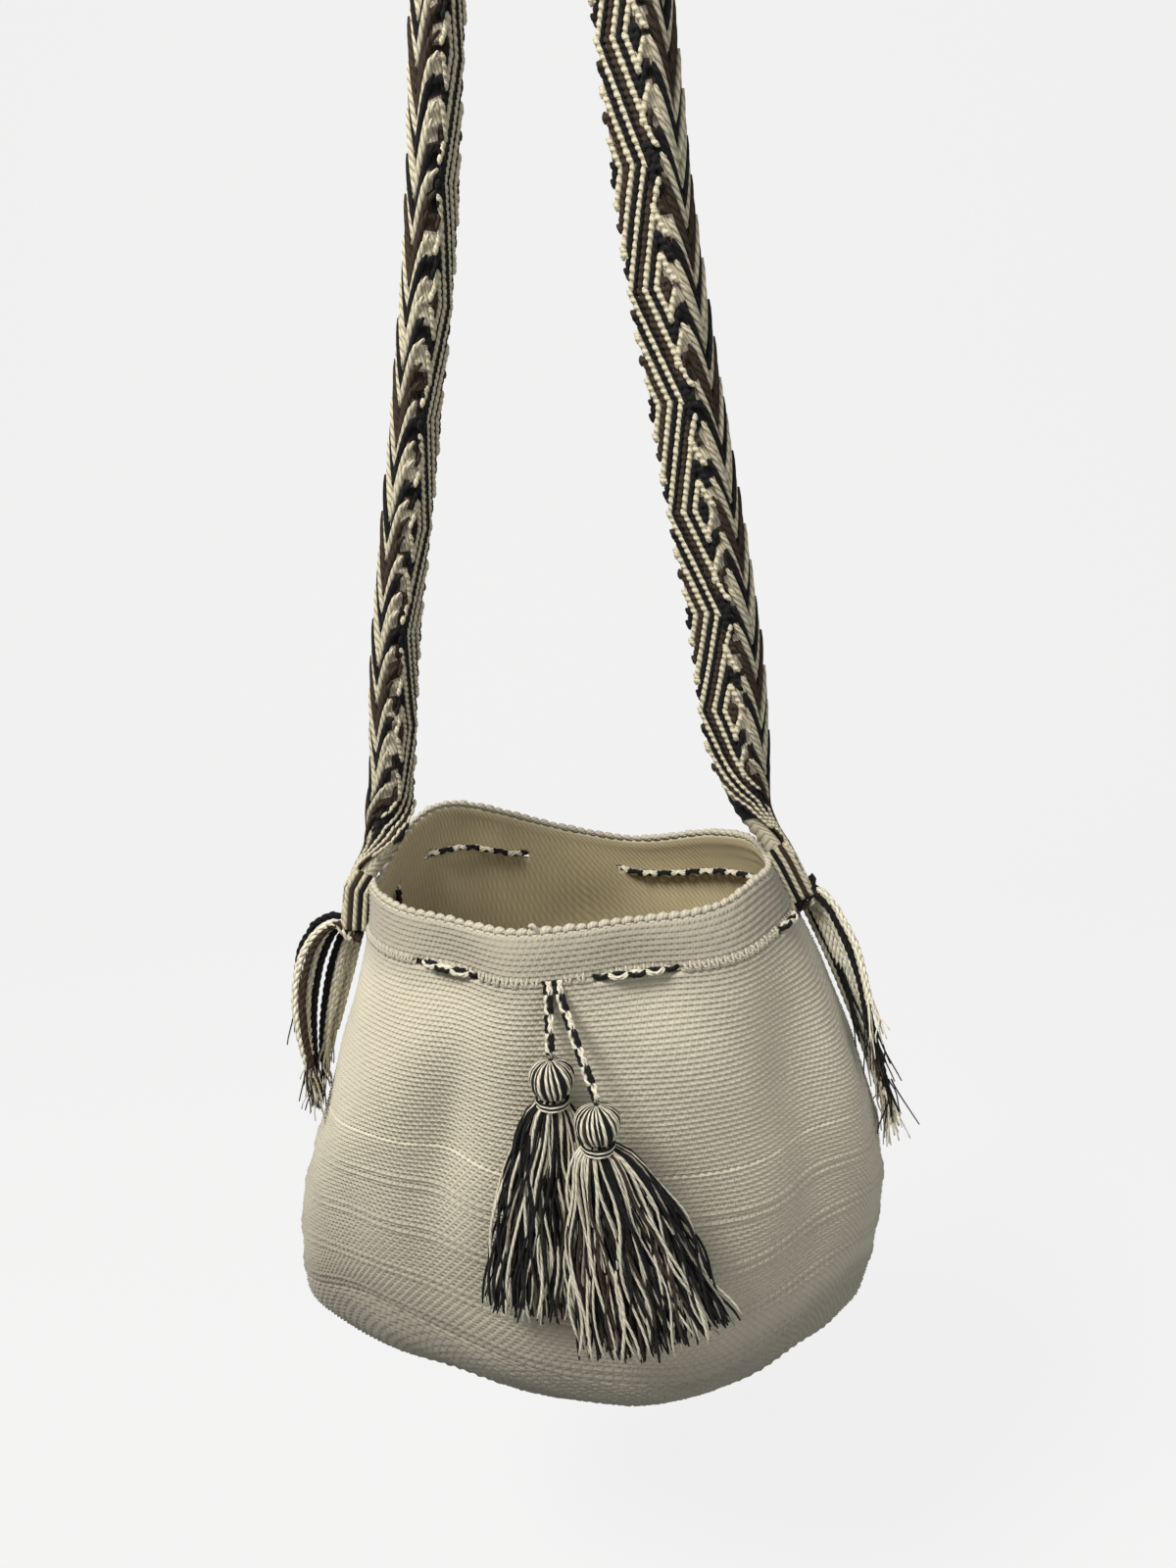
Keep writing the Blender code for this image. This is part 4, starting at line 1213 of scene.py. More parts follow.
@dataclass
class Tassel:
    """A tied bundle of yarn on one end of the drawstring."""

    form: BagForm
    size: TasselSize
    braid: Braid
    front_angle: float = -95.3
    cord_spacing: float = 0.0052
    front_height: float = 0.010
    head_radius: float = 0.0098
    neck_radius: float = 0.0064
    binding: float = 0.0018
    turns: int = 2
    half_thickness: float = 0.0070
    swell: float = 1.06
    gap: float = 0.0003
    strands: int = 250
    strand_radius: float = 0.00064
    strand_steps: int = 18
    sways: tuple = ((0.0016, 5, 7), (0.0011, 6, 9))
    crown_yarns: int = 44
    crown_steps: int = 12
    crown_yarn_radius: float = 0.00088
    crown_inset: float = 0.0004
    wrap_share: float = 0.31
    wrap_lie: float = 0.42

    def front_exit(self) -> np.ndarray:
        """Centre of the front eyelet, where it opens in the wall's outer face."""
        level = self.form.cord_depth / self.form.wall_length
        return self.form.skin(self.front_angle, level, -self.form.thickness / 6)

    def sideways(self) -> np.ndarray:
        """Level unit vector along the eyelet's row."""
        depth = self.form.cord_depth
        step = self.form.wall(self.front_angle + 0.5, depth) - self.form.wall(self.front_angle - 0.5, depth)
        step[2] = 0.0
        return unit(step)

    def pivot(self) -> np.ndarray:
        """Where this end leaves the eyelet."""
        return self.front_exit() + self.sideways() * self.size.side * self.cord_spacing / 2

    def head(self) -> np.ndarray:
        """The head's centre."""
        leave = self.front_exit()
        x, z = leave[0] + self.size.head_shift, leave[2] - self.size.head_drop
        r = self.head_radius
        wall_y = self.form.foremost(x - r, x + r, z - 3 * r, z + r)
        forward = self.form.rest_gap + r
        if self.size.side > 0:
            forward += self.half_thickness * self.swell + self.neck_radius + self.form.rest_gap
        return np.array((x, wall_y - forward, z))

    def back(self) -> float:
        """The plane that the skirt's back rests on."""
        left = Tassel(self.form, LEFT_TASSEL, self.braid).head()
        low_z = left[2] - LEFT_TASSEL.skirt_length - self.head_radius
        low_x = left[0] + LEFT_TASSEL.skirt_lean - LEFT_TASSEL.skirt_half_width
        place = self.form.foremost(low_x, -low_x, low_z - 0.03, left[2]) - self.form.rest_gap
        if self.size.side > 0:
            place -= 2 * self.half_thickness * self.swell + self.form.rest_gap
        return place

    def neck_drop(self) -> float:
        """From the head's centre down to the middle of the binding."""
        return 0.92 * self.head_radius + self.turns * self.binding / 2

    def cord_route(self) -> list:
        """From the eyelet, out over its lower lip and down to the tassel's head."""
        radius = self.braid.diameter / 2
        knot = self.head() + UP * (self.head_radius + self.gap + radius)
        level = (self.form.cord_depth + 0.55 * self.front_height) / self.form.wall_length
        lip = self.form.skin(self.front_angle, level, radius + 2.6 * self.form.rest_gap)
        lip = lip + self.sideways() * self.size.side * self.cord_spacing / 2
        middle = 0.5 * (lip + knot) + np.array((0.0, -0.0012, 0.0))
        return [self.pivot(), lip, middle, knot]

    def build_cord(self) -> None:
        """The free end of the braid, from the eyelet to the head."""
        line = smooth_path(self.cord_route(), 0.0011)
        yarns = YarnSet(f"{self.size.name}_cord", 5)
        self.braid.add_to(yarns, line)
        node = self.size.name.replace("tassel", "cord_end")
        piece = add_piece(f"{node}_braid", yarns.mesh(), ROUND_BRAID.material(), self.size.body,
                          (node,))

    def build_head(self) -> None:
        """Yarn drawn over the head, round a dark core, and bound at the neck."""
        head = self.head()
        chance = np.random.default_rng(self.size.seed)
        yarns = YarnSet(f"{self.size.name}_crown", 6)
        count, steps = self.crown_yarns, self.crown_steps
        tilt = np.radians(np.linspace(84, -52, steps))
        turn = 2 * math.pi * (np.arange(count) + 0.25 * chance.standard_normal(count)) / count
        swirl = turn[:, None] + 0.5 * np.linspace(0, 1, steps) * (0.6 + 0.4 * chance.random((count, 1)))
        radius = self.head_radius - self.crown_inset
        reach = np.maximum(radius * np.cos(tilt), 0.0006)[None]
        rise = np.broadcast_to(radius * np.sin(tilt), (count, steps))
        dip = 0.0004 * np.sin(swirl * 5)
        paths = np.stack(((reach + dip) * np.cos(swirl), (reach + dip) * np.sin(swirl), rise), -1) + head
        fullness = np.clip(np.cos(tilt) * 1.15, 0.35, 1.0)[None] * self.crown_yarn_radius
        k, b, c = Tone.BLACK.value, Tone.BROWN.value, Tone.CREAM.value
        tones = np.resize(np.array([k, c, k, k, c, b, c, k, c, k, c]), count)
        yarns.add(paths, np.broadcast_to(fullness, (count, steps)), tones)
        core = head + np.stack((np.zeros(9), np.zeros(9), np.linspace(-0.85, 0.85, 9) * radius), -1)
        bulk = np.sqrt(np.clip(1 - np.linspace(-0.9, 0.9, 9) ** 2, 0.02, 1)) * radius * 0.93
        yarns.add(core[None], bulk[None], Tone.BLACK.value)
        add_piece(f"{self.size.name}_head_yarn", yarns.mesh(), TASSEL_YARN.material(), self.size.body,
                  (self.size.name,))
        wraps = YarnSet(f"{self.size.name}_wraps", 6)
        height = self.turns * self.binding
        radius = self.neck_radius + self.binding * self.wrap_lie
        for number, tone in enumerate((Tone.BLACK, Tone.CREAM, Tone.BLACK, Tone.CREAM)):
            sweep = np.linspace(0.3 * number, 2 * math.pi + 0.3 * number, 33)
            drop = self.neck_drop() + height * (0.24 * (number - 1.5) + 0.06 * np.sin(sweep + number))
            line = np.stack((radius * np.cos(sweep), radius * np.sin(sweep), -drop), -1) + head
            wraps.add(line[None], self.binding * self.wrap_share, tone.value)
        add_piece(f"{self.size.name}_wraps", wraps.mesh(), TASSEL_YARN.material(), self.size.body,
                  (f"{self.size.name}_binding",))

    @staticmethod
    def tones(count: int, chance: np.random.Generator) -> np.ndarray:
        """A seeded mix of black, cream and a little brown and grey."""
        shares = {Tone.BLACK: 0.58, Tone.CREAM: 0.28, Tone.BROWN: 0.11, Tone.GREY: 0.03}
        return chance.choice([tone.value for tone in shares], count, p=list(shares.values()))

    def build_skirt(self) -> None:
        """Hanging strands: from the neck they swell, then lie in a flat fan."""
        size, head = self.size, self.head()
        chance = np.random.default_rng(size.seed + 20)
        share = np.linspace(0.0, 1.0, self.strand_steps)[None]
        fan = (np.arange(self.strands) + 0.5) / self.strands
        column = (self.strands, 1)
        turn = (GOLDEN_ANGLE * np.arange(self.strands))[:, None]
        rank = np.sqrt(fan)[:, None] * (1 - 0.06 * chance.random(column))
        ends = 1.0 - 0.10 * chance.random(column) ** 1.6
        share = share * ends
        spread = share**0.5
        half_width = self.neck_radius + (size.skirt_half_width - self.neck_radius) * spread
        half_depth = self.neck_radius + (self.half_thickness - self.neck_radius) * np.minimum(1, 4 * share)
        narrow = 1 - 0.22 * np.exp(-((share / 0.05) ** 2))

        def sway(reach: float, least: float, more: float) -> np.ndarray:
            beats = least + more * chance.random(column)
            return reach * np.sin(share * beats + 6.28 * chance.random(column))

        wave, swing = (sway(*values) for values in self.sways)
        loose = np.minimum(1, 3 * share)
        offset = rank * half_width * narrow * np.cos(turn) + wave * loose * 1.6
        x = head[0] + size.skirt_lean * share**0.8 + offset
        resting = self.back() - self.half_thickness * 1.05
        settle = np.minimum(1.0, 2.6 * share)
        y = head[1] + (resting - head[1]) * settle**2 * (3 - 2 * settle)
        y = y + rank * (half_depth * narrow - self.strand_radius) * np.sin(turn) + swing * loose
        top = self.neck_drop() - self.turns * self.binding / 2
        z = head[2] - top - (size.skirt_length - top) * share
        z = z + 0.6 * share * (x - head[0]) ** 2 / size.skirt_length
        paths = np.stack(np.broadcast_arrays(x, y, z), -1)
        radius = self.strand_radius * (0.85 + 0.4 * chance.random(column))
        taper = np.where(np.linspace(0, 1, self.strand_steps) > 0.97, 0.7, 1.0)[None]
        yarns = YarnSet(f"{size.name}_strands", 5)
        yarns.add(paths, radius * taper, self.tones(self.strands, chance))
        add_piece(f"{size.name}_skirt_yarn", yarns.mesh(), TASSEL_YARN.material(), size.body,
                  (size.name,))

    def build(self) -> None:
        """Makes the cord end, head, binding and skirt."""
        self.build_cord()
        self.build_head()
        self.build_skirt()


@dataclass(frozen=True)
class StrapSide:
    """One half of the strap: its sewn end's angle on the bag, fold, twist and fringe.

    Attributes:
        sign: -1 on the left and 1 on the right.
        fringe_drift: Degrees that the cords wander round the bag on their way down.
        fringe_spread: How far the bunch stands off the wall, at each of the fringe's depths.
        fringe_lanes: Lane of each cord, from 0 for the outermost to 7 by the wall.
        fringe_lengths: How far down the wall the cord in each lane reaches.
        extra_cord: Lane, reach and rise of the black cord that lies over the others.
    """

    name: str
    sign: int
    angle: float
    fold: float
    twist: float
    fringe_drift: float
    fringe_spread: tuple
    fringe_lanes: tuple
    fringe_lengths: tuple
    extra_cord: tuple


LEFT_SIDE = StrapSide(
    name="left", sign=-1, angle=181.0, fold=66.0, twist=97.0, fringe_drift=5.0,
    fringe_spread=(0.0180, 0.0265, 0.0310, 0.0290, 0.0220, 0.0120),
    fringe_lanes=(2, 4, 6, 1, 0, 3, 5, 7),
    fringe_lengths=(0.090, 0.084, 0.080, 0.084, 0.086, 0.080, 0.076, 0.070),
    extra_cord=(-0.6, 0.058, 0.0),
)
RIGHT_SIDE = StrapSide(
    name="right", sign=1, angle=3.0, fold=40.0, twist=74.0, fringe_drift=-13.0,
    fringe_spread=(0.0150, 0.0190, 0.0205, 0.0185, 0.0140, 0.0115),
    fringe_lanes=(0, 2, 3, 1, 4, 6, 5, 7),
    fringe_lengths=(0.056, 0.074, 0.106, 0.112, 0.118, 0.108, 0.062, 0.094),
    extra_cord=(1.5, 0.064, 0.010),
)


@dataclass
class Strap:
    """The woven band: a ground, chain links on one face and long floats on the other."""

    form: BagForm
    width: float = 0.043
    thickness: float = 0.0055
    diamond: float = 0.096
    support: float = 0.020
    seat: float = 0.012
    sewn_length: float = 0.020
    sewn_width: float = 0.020
    sewn_thickness: float = 0.011
    step: float = 0.0026
    first_eye: float = 0.009
    eye_centres: tuple = (0.0042, 0.0205)
    diamond_slope: float = 0.31
    bead_width: float = 0.0027
    bead_length: float = 0.0030
    float_slope: float = 0.37
    float_pitch: float = 0.0084
    float_radius: float = 0.00165
    rings: int = 8
    crest_margin: float = 0.0006
    edge_margin: float = 0.0004
    bead_lifts: tuple = (0.98, 1.06)
    bead_heights: tuple = (0.0019, 0.0025)
    swell: float = 1.06
    foot_share: float = 1.7
    foot_yarn: float = 0.115
    sewn_taper: tuple = (0.004, 0.085)
    bend_start: tuple = (0.008, 0.058)
    bend_end: tuple = (-0.180, -0.040)
    line: tuple = (
        (0.045, 0.840),
        (0.100, 0.755),
        (0.180, 0.700),
        (0.260, 0.625),
        (0.420, 0.447),
        (0.560, 0.305),
        (0.680, 0.225),
        (0.840, 0.110),
        (0.960, 0.020),
    )

    def sewn_end(self, side: StrapSide, rise: float) -> np.ndarray:
        """Centre line of the sewn end, at a height above its lower end."""
        form = self.form
        middle = form.wall(side.angle, self.sewn_length - rise)
        reach = 0.5 * self.sewn_width / form.degree_length(side.angle, 0.0)
        foremost = 0.0
        for angle in np.linspace(side.angle - reach, side.angle + reach, 7):
            beside = form.wall(angle, form.depth_at_height(angle, middle[2]))
            foremost = max(foremost, side.sign * beside[0])
        lift = form.course_relief + form.rest_gap + self.swell * self.sewn_thickness / 2
        return np.array((side.sign * (foremost + lift), middle[1], middle[2]))

    def half(self, side: StrapSide) -> list:
        """Route of one half, from its sewn end up to the support."""
        points = [self.sewn_end(side, rise) for rise in np.linspace(0.0, self.sewn_length, 3)]
        foot = points[-1]
        top_x = self.support + self.thickness / 2
        climb = -self.support - foot[2]
        for share, spread in self.line:
            x = top_x + (abs(foot[0]) - top_x) * spread
            points.append(np.array((side.sign * x, foot[1] * (1 - share), foot[2] + climb * share)))
        return points

    def arc(self) -> list:
        """Over the support, with a short level seat in the middle."""
        radius = self.support + self.thickness / 2
        bend = radius - self.seat / 2
        points = []
        for turn in (180, 157.5, 135, 112.5, 90, 90, 67.5, 45, 22.5, 0):
            shift = -self.seat / 2 if len(points) < 5 else self.seat / 2
            x = shift + bend * math.cos(math.radians(turn))
            z = radius - bend - self.support + bend * math.sin(math.radians(turn))
            points.append(np.array((x, 0.0, z)))
        return points

    def route(self) -> np.ndarray:
        """The whole middle line, from the left sewn end to the right one."""
        arc = self.arc()
        left = list(smooth_path(self.half(LEFT_SIDE) + [arc[0]], self.diamond / 9))
        right = list(smooth_path(self.half(RIGHT_SIDE) + [arc[-1]], self.diamond / 9))
        return even_path(np.array(left + arc[1:-1] + right[::-1]), self.step)

    def sections(self) -> dict[str, np.ndarray]:
        """Per route point: middle, crest, width way, half width, thickness and fold."""
        points = self.route()
        tangent = unit(np.gradient(points, axis=0))
        outwards = unit(np.cross(tangent, FORWARD))
        across = np.cross(tangent, outwards)
        is_left = points[:, 0] < 0
        foot = np.where(is_left, self.sewn_end(LEFT_SIDE, self.sewn_length)[2],
                        self.sewn_end(RIGHT_SIDE, self.sewn_length)[2])
        height = points[:, 2] - foot
        sewn = 1 - blend(height, *self.sewn_taper)
        bent = blend(height, *self.bend_start) * (1 - blend(points[:, 2], *self.bend_end))
        twist = np.radians(np.where(is_left, LEFT_SIDE.twist, RIGHT_SIDE.twist)) * bent
        fold = np.radians(np.where(is_left, LEFT_SIDE.fold, RIGHT_SIDE.fold)) * bent
        cos, sin = np.cos(twist)[:, None], np.sin(twist)[:, None]
        crest = outwards * cos + across * sin
        width_way = across * cos - outwards * sin
        half_width = (self.width + (self.sewn_width - self.width) * sewn) / 2
        thick = self.thickness + (self.sewn_thickness - self.thickness) * sewn
        middle = points + crest * (0.5 * half_width * np.sin(fold))[:, None]
        run = np.arange(len(points)) * self.step
        return {"middle": middle, "crest": crest, "way": width_way, "half": half_width,
                "thick": thick, "fold": fold, "run": run, "tangent": tangent, "sewn": sewn}

    @staticmethod
    def folded(rows: dict[str, np.ndarray], at: np.ndarray, share: np.ndarray,
               lift: np.ndarray) -> np.ndarray:
        """Points of the folded band.

        Args:
            rows: The sections.
            at: Section numbers, which may lie between two.
            share: Share of the half width, -1 to 1, of each point.
            lift: Distance off the band's middle, as a share of half its thickness.

        Returns:
            The points.
        """
        at = np.clip(at, 0, len(rows["run"]) - 1.001)
        low = np.floor(at).astype(int)
        part = at - low

        def mixed(name: str) -> np.ndarray:
            values = rows[name]
            weight = part[..., None] if values.ndim == 2 else part
            return values[low] * (1 - weight) + values[low + 1] * weight

        fold, half = mixed("fold"), mixed("half")
        crest, way = unit(mixed("crest")), unit(mixed("way"))
        lift = lift * mixed("thick") / 2
        cos, sin = np.cos(fold), np.sin(fold)
        soft = share / np.sqrt(share**2 + 0.006)
        down = way * (share * cos)[..., None] - crest * (np.abs(share) * sin)[..., None]
        normal = unit(crest * cos[..., None] + way * (soft * sin)[..., None])
        return mixed("middle") + down * half[..., None] + normal * lift[..., None]

    def eye_distance(self, edge: bool, level: np.ndarray, across: np.ndarray) -> np.ndarray:
        """How far a place is from its nearest eye, measured the way the long diamonds lie.

        Args:
            edge: Whether to measure from the eyes at the band's edge, or those by its crest.
            level: Way up from the sewn end, in metres.
            across: Way across the face from the crest, in metres.

        Returns:
            The distance, in metres across the face.
        """
        start = self.first_eye + (self.diamond / 2 if edge else 0.0)
        off = np.abs((level - start + self.diamond / 2) % self.diamond - self.diamond / 2)
        return self.diamond_slope * off + np.abs(across - self.eye_centres[int(edge)])

    def ring_tone(self, edge: np.ndarray, ring: np.ndarray, level: np.ndarray) -> np.ndarray:
        """Tones of the rings round an eye; every other eye by the crest is black."""
        k, b, c = Tone.BLACK.value, Tone.BROWN.value, Tone.CREAM.value
        by_crest = np.array([b, c, k, c, b, k, k, c, b, c])
        by_edge = np.array([k, c, b, c, k, c, b, c, k, c])
        ring = np.clip(ring, 0, 9)
        tone = np.where(edge, by_edge[ring], by_crest[ring])
        number = np.floor((level - self.first_eye) / self.diamond + 0.5)
        return np.where((ring == 0) & ~edge & (number % 2 == 0), k, tone)

    def diamond_tone(self, share: np.ndarray, level: np.ndarray) -> np.ndarray:
        """Tones of the nested diamonds on the face with the chain links."""
        across = np.abs(share) * self.width / 2
        crest, edge = (self.eye_distance(side, level, across) for side in (False, True))
        ring = np.floor(np.minimum(crest, edge) / self.bead_width).astype(int)
        return self.ring_tone(edge < crest, ring, level)

    def float_tone(self, number: np.ndarray) -> np.ndarray:
        """Tones of the chevrons of long floats, in the order that repeats."""
        k, b, c = Tone.BLACK.value, Tone.BROWN.value, Tone.CREAM.value
        return np.array([c, c, k, c, b, b, c, k])[np.asarray(number, int) % 8]

    def chevron(self, share: np.ndarray, level: np.ndarray) -> np.ndarray:
        """Which chevron passes a place of the float face."""
        across = np.abs(np.abs(share) * self.width / 2 - self.width / 4)
        return np.floor((level - across / self.float_slope) / self.float_pitch + 0.5)

    def build_ground(self, rows: dict[str, np.ndarray]) -> None:
        """The band itself: a closed loft with a woven face and rounded edges."""
        shares = [-0.97, -0.9, -0.75, -0.5, -0.25, -0.08, 0.08, 0.25, 0.5, 0.75, 0.9, 0.97]
        count = len(rows["run"])
        at = np.arange(count, dtype=float)[:, None]
        lifts = np.array([0.1, 0.55] + [0.75] * 8 + [0.55, 0.1])
        outer = self.folded(rows, *np.broadcast_arrays(at, np.array(shares), lifts))
        inner_share = np.linspace(0.93, -0.93, 19)
        ripple = np.where(np.arange(count)[:, None] % 2 == 0, -0.95, -0.72)
        inner = self.folded(rows, *np.broadcast_arrays(at, inner_share, ripple))
        ring = np.concatenate((outer, inner), axis=1)
        around = ring.shape[1]
        index = np.arange(count * around).reshape(count, around)
        faces = quads_round(index)[:-1].reshape(-1, 4).tolist()
        faces += [index[0].tolist(), index[-1].tolist()]
        mesh = closed_mesh("strap_ground", ring.reshape(-1, 3), faces)
        spread = np.concatenate((shares, inner_share))
        share = np.broadcast_to(spread, (count, around))
        run = np.broadcast_to(rows["run"][:, None], (count, around))
        level = np.minimum(run, rows["run"][-1] - run)
        tone = np.where(share > 0, self.diamond_tone(share, level),
                        self.float_tone(self.chevron(share, level)))
        warp = self.float_tone(np.floor((share + 1) * 8).astype(int) + 1)
        tone = np.where(level < self.sewn_length * 2.2, warp, tone)
        add_values(mesh, "tone", tone.ravel())
        corners = corner_points(mesh)
        add_map(mesh, np.stack((share.ravel()[corners] * 9, run.ravel()[corners]), -1))
        self.add_face("strap_ground", mesh, STRAP_YARN)

    def beads(self, total: float) -> list[np.ndarray]:
        """Beads of the nested diamonds on one half: level, across, slope of the line, tone."""
        facet = self.width / 2
        found = []
        for edge in (False, True):
            eye = self.eye_centres[int(edge)]
            start = self.first_eye + (self.diamond / 2 if edge else 0.0)
            for middle in np.arange(start - self.diamond, total / 2 + self.diamond, self.diamond):
                for ring in range(self.rings):
                    reach = (ring + 0.5) * self.bead_width
                    end = reach / self.diamond_slope
                    off = np.arange(-end, end, self.bead_length)
                    for way in (-1, 1):
                        across = eye + way * (reach - self.diamond_slope * np.abs(off))
                        level = middle + off
                        other = self.eye_distance(not edge, level, across)
                        keep = (across > self.crest_margin) & (across < facet - self.edge_margin)
                        keep &= reach <= other
                        keep &= (level > self.sewn_length * 0.1) & (level < total / 2)
                        slope = -way * self.diamond_slope * np.sign(off)
                        tone = self.ring_tone(np.full(len(off), edge), np.full(len(off), ring), level)
                        found.append(np.stack((level, across, slope, tone))[:, keep])
        return np.concatenate(found, axis=1)

    def build_links(self, rows: dict[str, np.ndarray]) -> None:
        """Chain links that follow the diamonds' lines, with Geometry Nodes, on both halves."""
        bead = YarnSet("bead", 5)
        share = np.linspace(-0.5, 0.5, 4)
        line = np.stack((share, 0.42 * share, 0.06 - 0.3 * share**2), -1)
        bead.add(line[None], np.array([[0.20, 0.42, 0.44, 0.24]]), Tone.CREAM.value)
        total = rows["run"][-1]
        level, across, slope, tone = self.beads(total)
        facet = self.width / 2
        for name, mirrored in (("left", False), ("right", True)):
            way = -1.0 if mirrored else 1.0
            run = total - level if mirrored else level
            at, share = run / self.step, across / facet
            pale = (tone > Tone.GREY.value).astype(int)
            lift = np.array(self.bead_lifts)[pale]
            place = self.folded(rows, at, share, lift)
            step = 0.0008
            ahead = self.folded(rows, at + way * step / self.step, share + slope * step / facet, lift)
            below = self.folded(rows, at, share, 0 * lift)
            squeeze = np.interp(at, np.arange(len(rows["run"])), rows["half"]) / facet
            size = np.stack((np.full_like(run, self.bead_length * 1.3), self.bead_width * 1.12 * squeeze,
                             np.array(self.bead_heights)[pale]), -1)
            build_repeats(f"strap_links_{name}", bead, place, unit(ahead - place), unit(place - below),
                          size, tone, LINK_YARN, 0.10, 7, ("strap",))

    def build_floats(self, rows: dict[str, np.ndarray]) -> None:
        """Long plied floats on the other face: chevrons that point down, one leg over the other."""
        yarns = YarnSet("strap_floats", 6)
        chance = np.random.default_rng(31)
        total, facet = rows["run"][-1], self.width / 2
        share = np.linspace(-0.10, 1.0, 10)
        numbers = np.arange(-2, int(total / 2 / self.float_pitch))
        fullness = np.array([0.45, 0.85, 1, 1.04, 1.04, 1, 1, 0.95, 0.8, 0.45])
        for mirrored in (False, True):
            for way in (-1, 1):
                across = facet / 2 * (1 + way * share) + 0.0003 * chance.standard_normal((len(numbers), 1))
                level = numbers[:, None] * self.float_pitch + np.abs(share) * facet / 2 / self.float_slope
                level = level + 0.0006 * chance.standard_normal((len(numbers), 1))
                inside = (level.min(1) > 0.003) & (level.max(1) < total / 2 + 0.02)
                run = total - level if mirrored else level
                top = np.where((numbers[:, None] + (way > 0)) % 2 == 0, 1.12, 0.92)
                lift = top - 0.5 * np.abs(share - 0.45) ** 1.5
                spread = np.broadcast_to(-across / facet, run.shape)
                place = self.folded(rows, run / self.step, spread, lift)
                sewn = np.interp(run[:, 5] / self.step, np.arange(len(rows["sewn"])), rows["sewn"])
                radii = self.float_radius * fullness * (1 - 0.42 * sewn[:, None])
                yarns.add(place[inside], radii[inside], self.float_tone(numbers)[inside])
        self.add_face("strap_floats", yarns.mesh(), FLOAT_YARN)

    def build_foot(self, rows: dict[str, np.ndarray]) -> None:
        """Warp yarns along the edges of both sewn ends, which lead into the fringe."""
        yarns = YarnSet("strap_foot", 6)
        count = round(self.sewn_length * self.foot_share / self.step)
        tones = (Tone.CREAM, Tone.BLACK, Tone.CREAM, Tone.BROWN, Tone.CREAM)
        for at in (np.arange(count, dtype=float), len(rows["run"]) - 1.002 - np.arange(count)):
            thick = np.interp(at, np.arange(len(rows["thick"])), rows["thick"])
            for share in (-0.98, 0.98):
                for tone, lift in zip(tones, np.linspace(-0.85, 0.85, len(tones))):
                    line = self.folded(rows, at, np.full(count, share), np.full(count, lift))
                    yarns.add(line[None], thick[None] * self.foot_yarn, tone.value)
        self.add_face("strap_foot", yarns.mesh(), STRAP_YARN)

    @staticmethod
    def add_face(name: str, mesh: bpy.types.Mesh, finish: YarnFinish) -> None:
        """Adds a piece of the strap."""
        add_piece(name, mesh, finish.material(), Body.BAG, ("strap",))

    def build(self) -> None:
        """Makes the ground, the links, the floats and the foot yarns."""
        rows = self.sections()
        for make in (self.build_ground, self.build_links, self.build_floats, self.build_foot):
            make(rows)


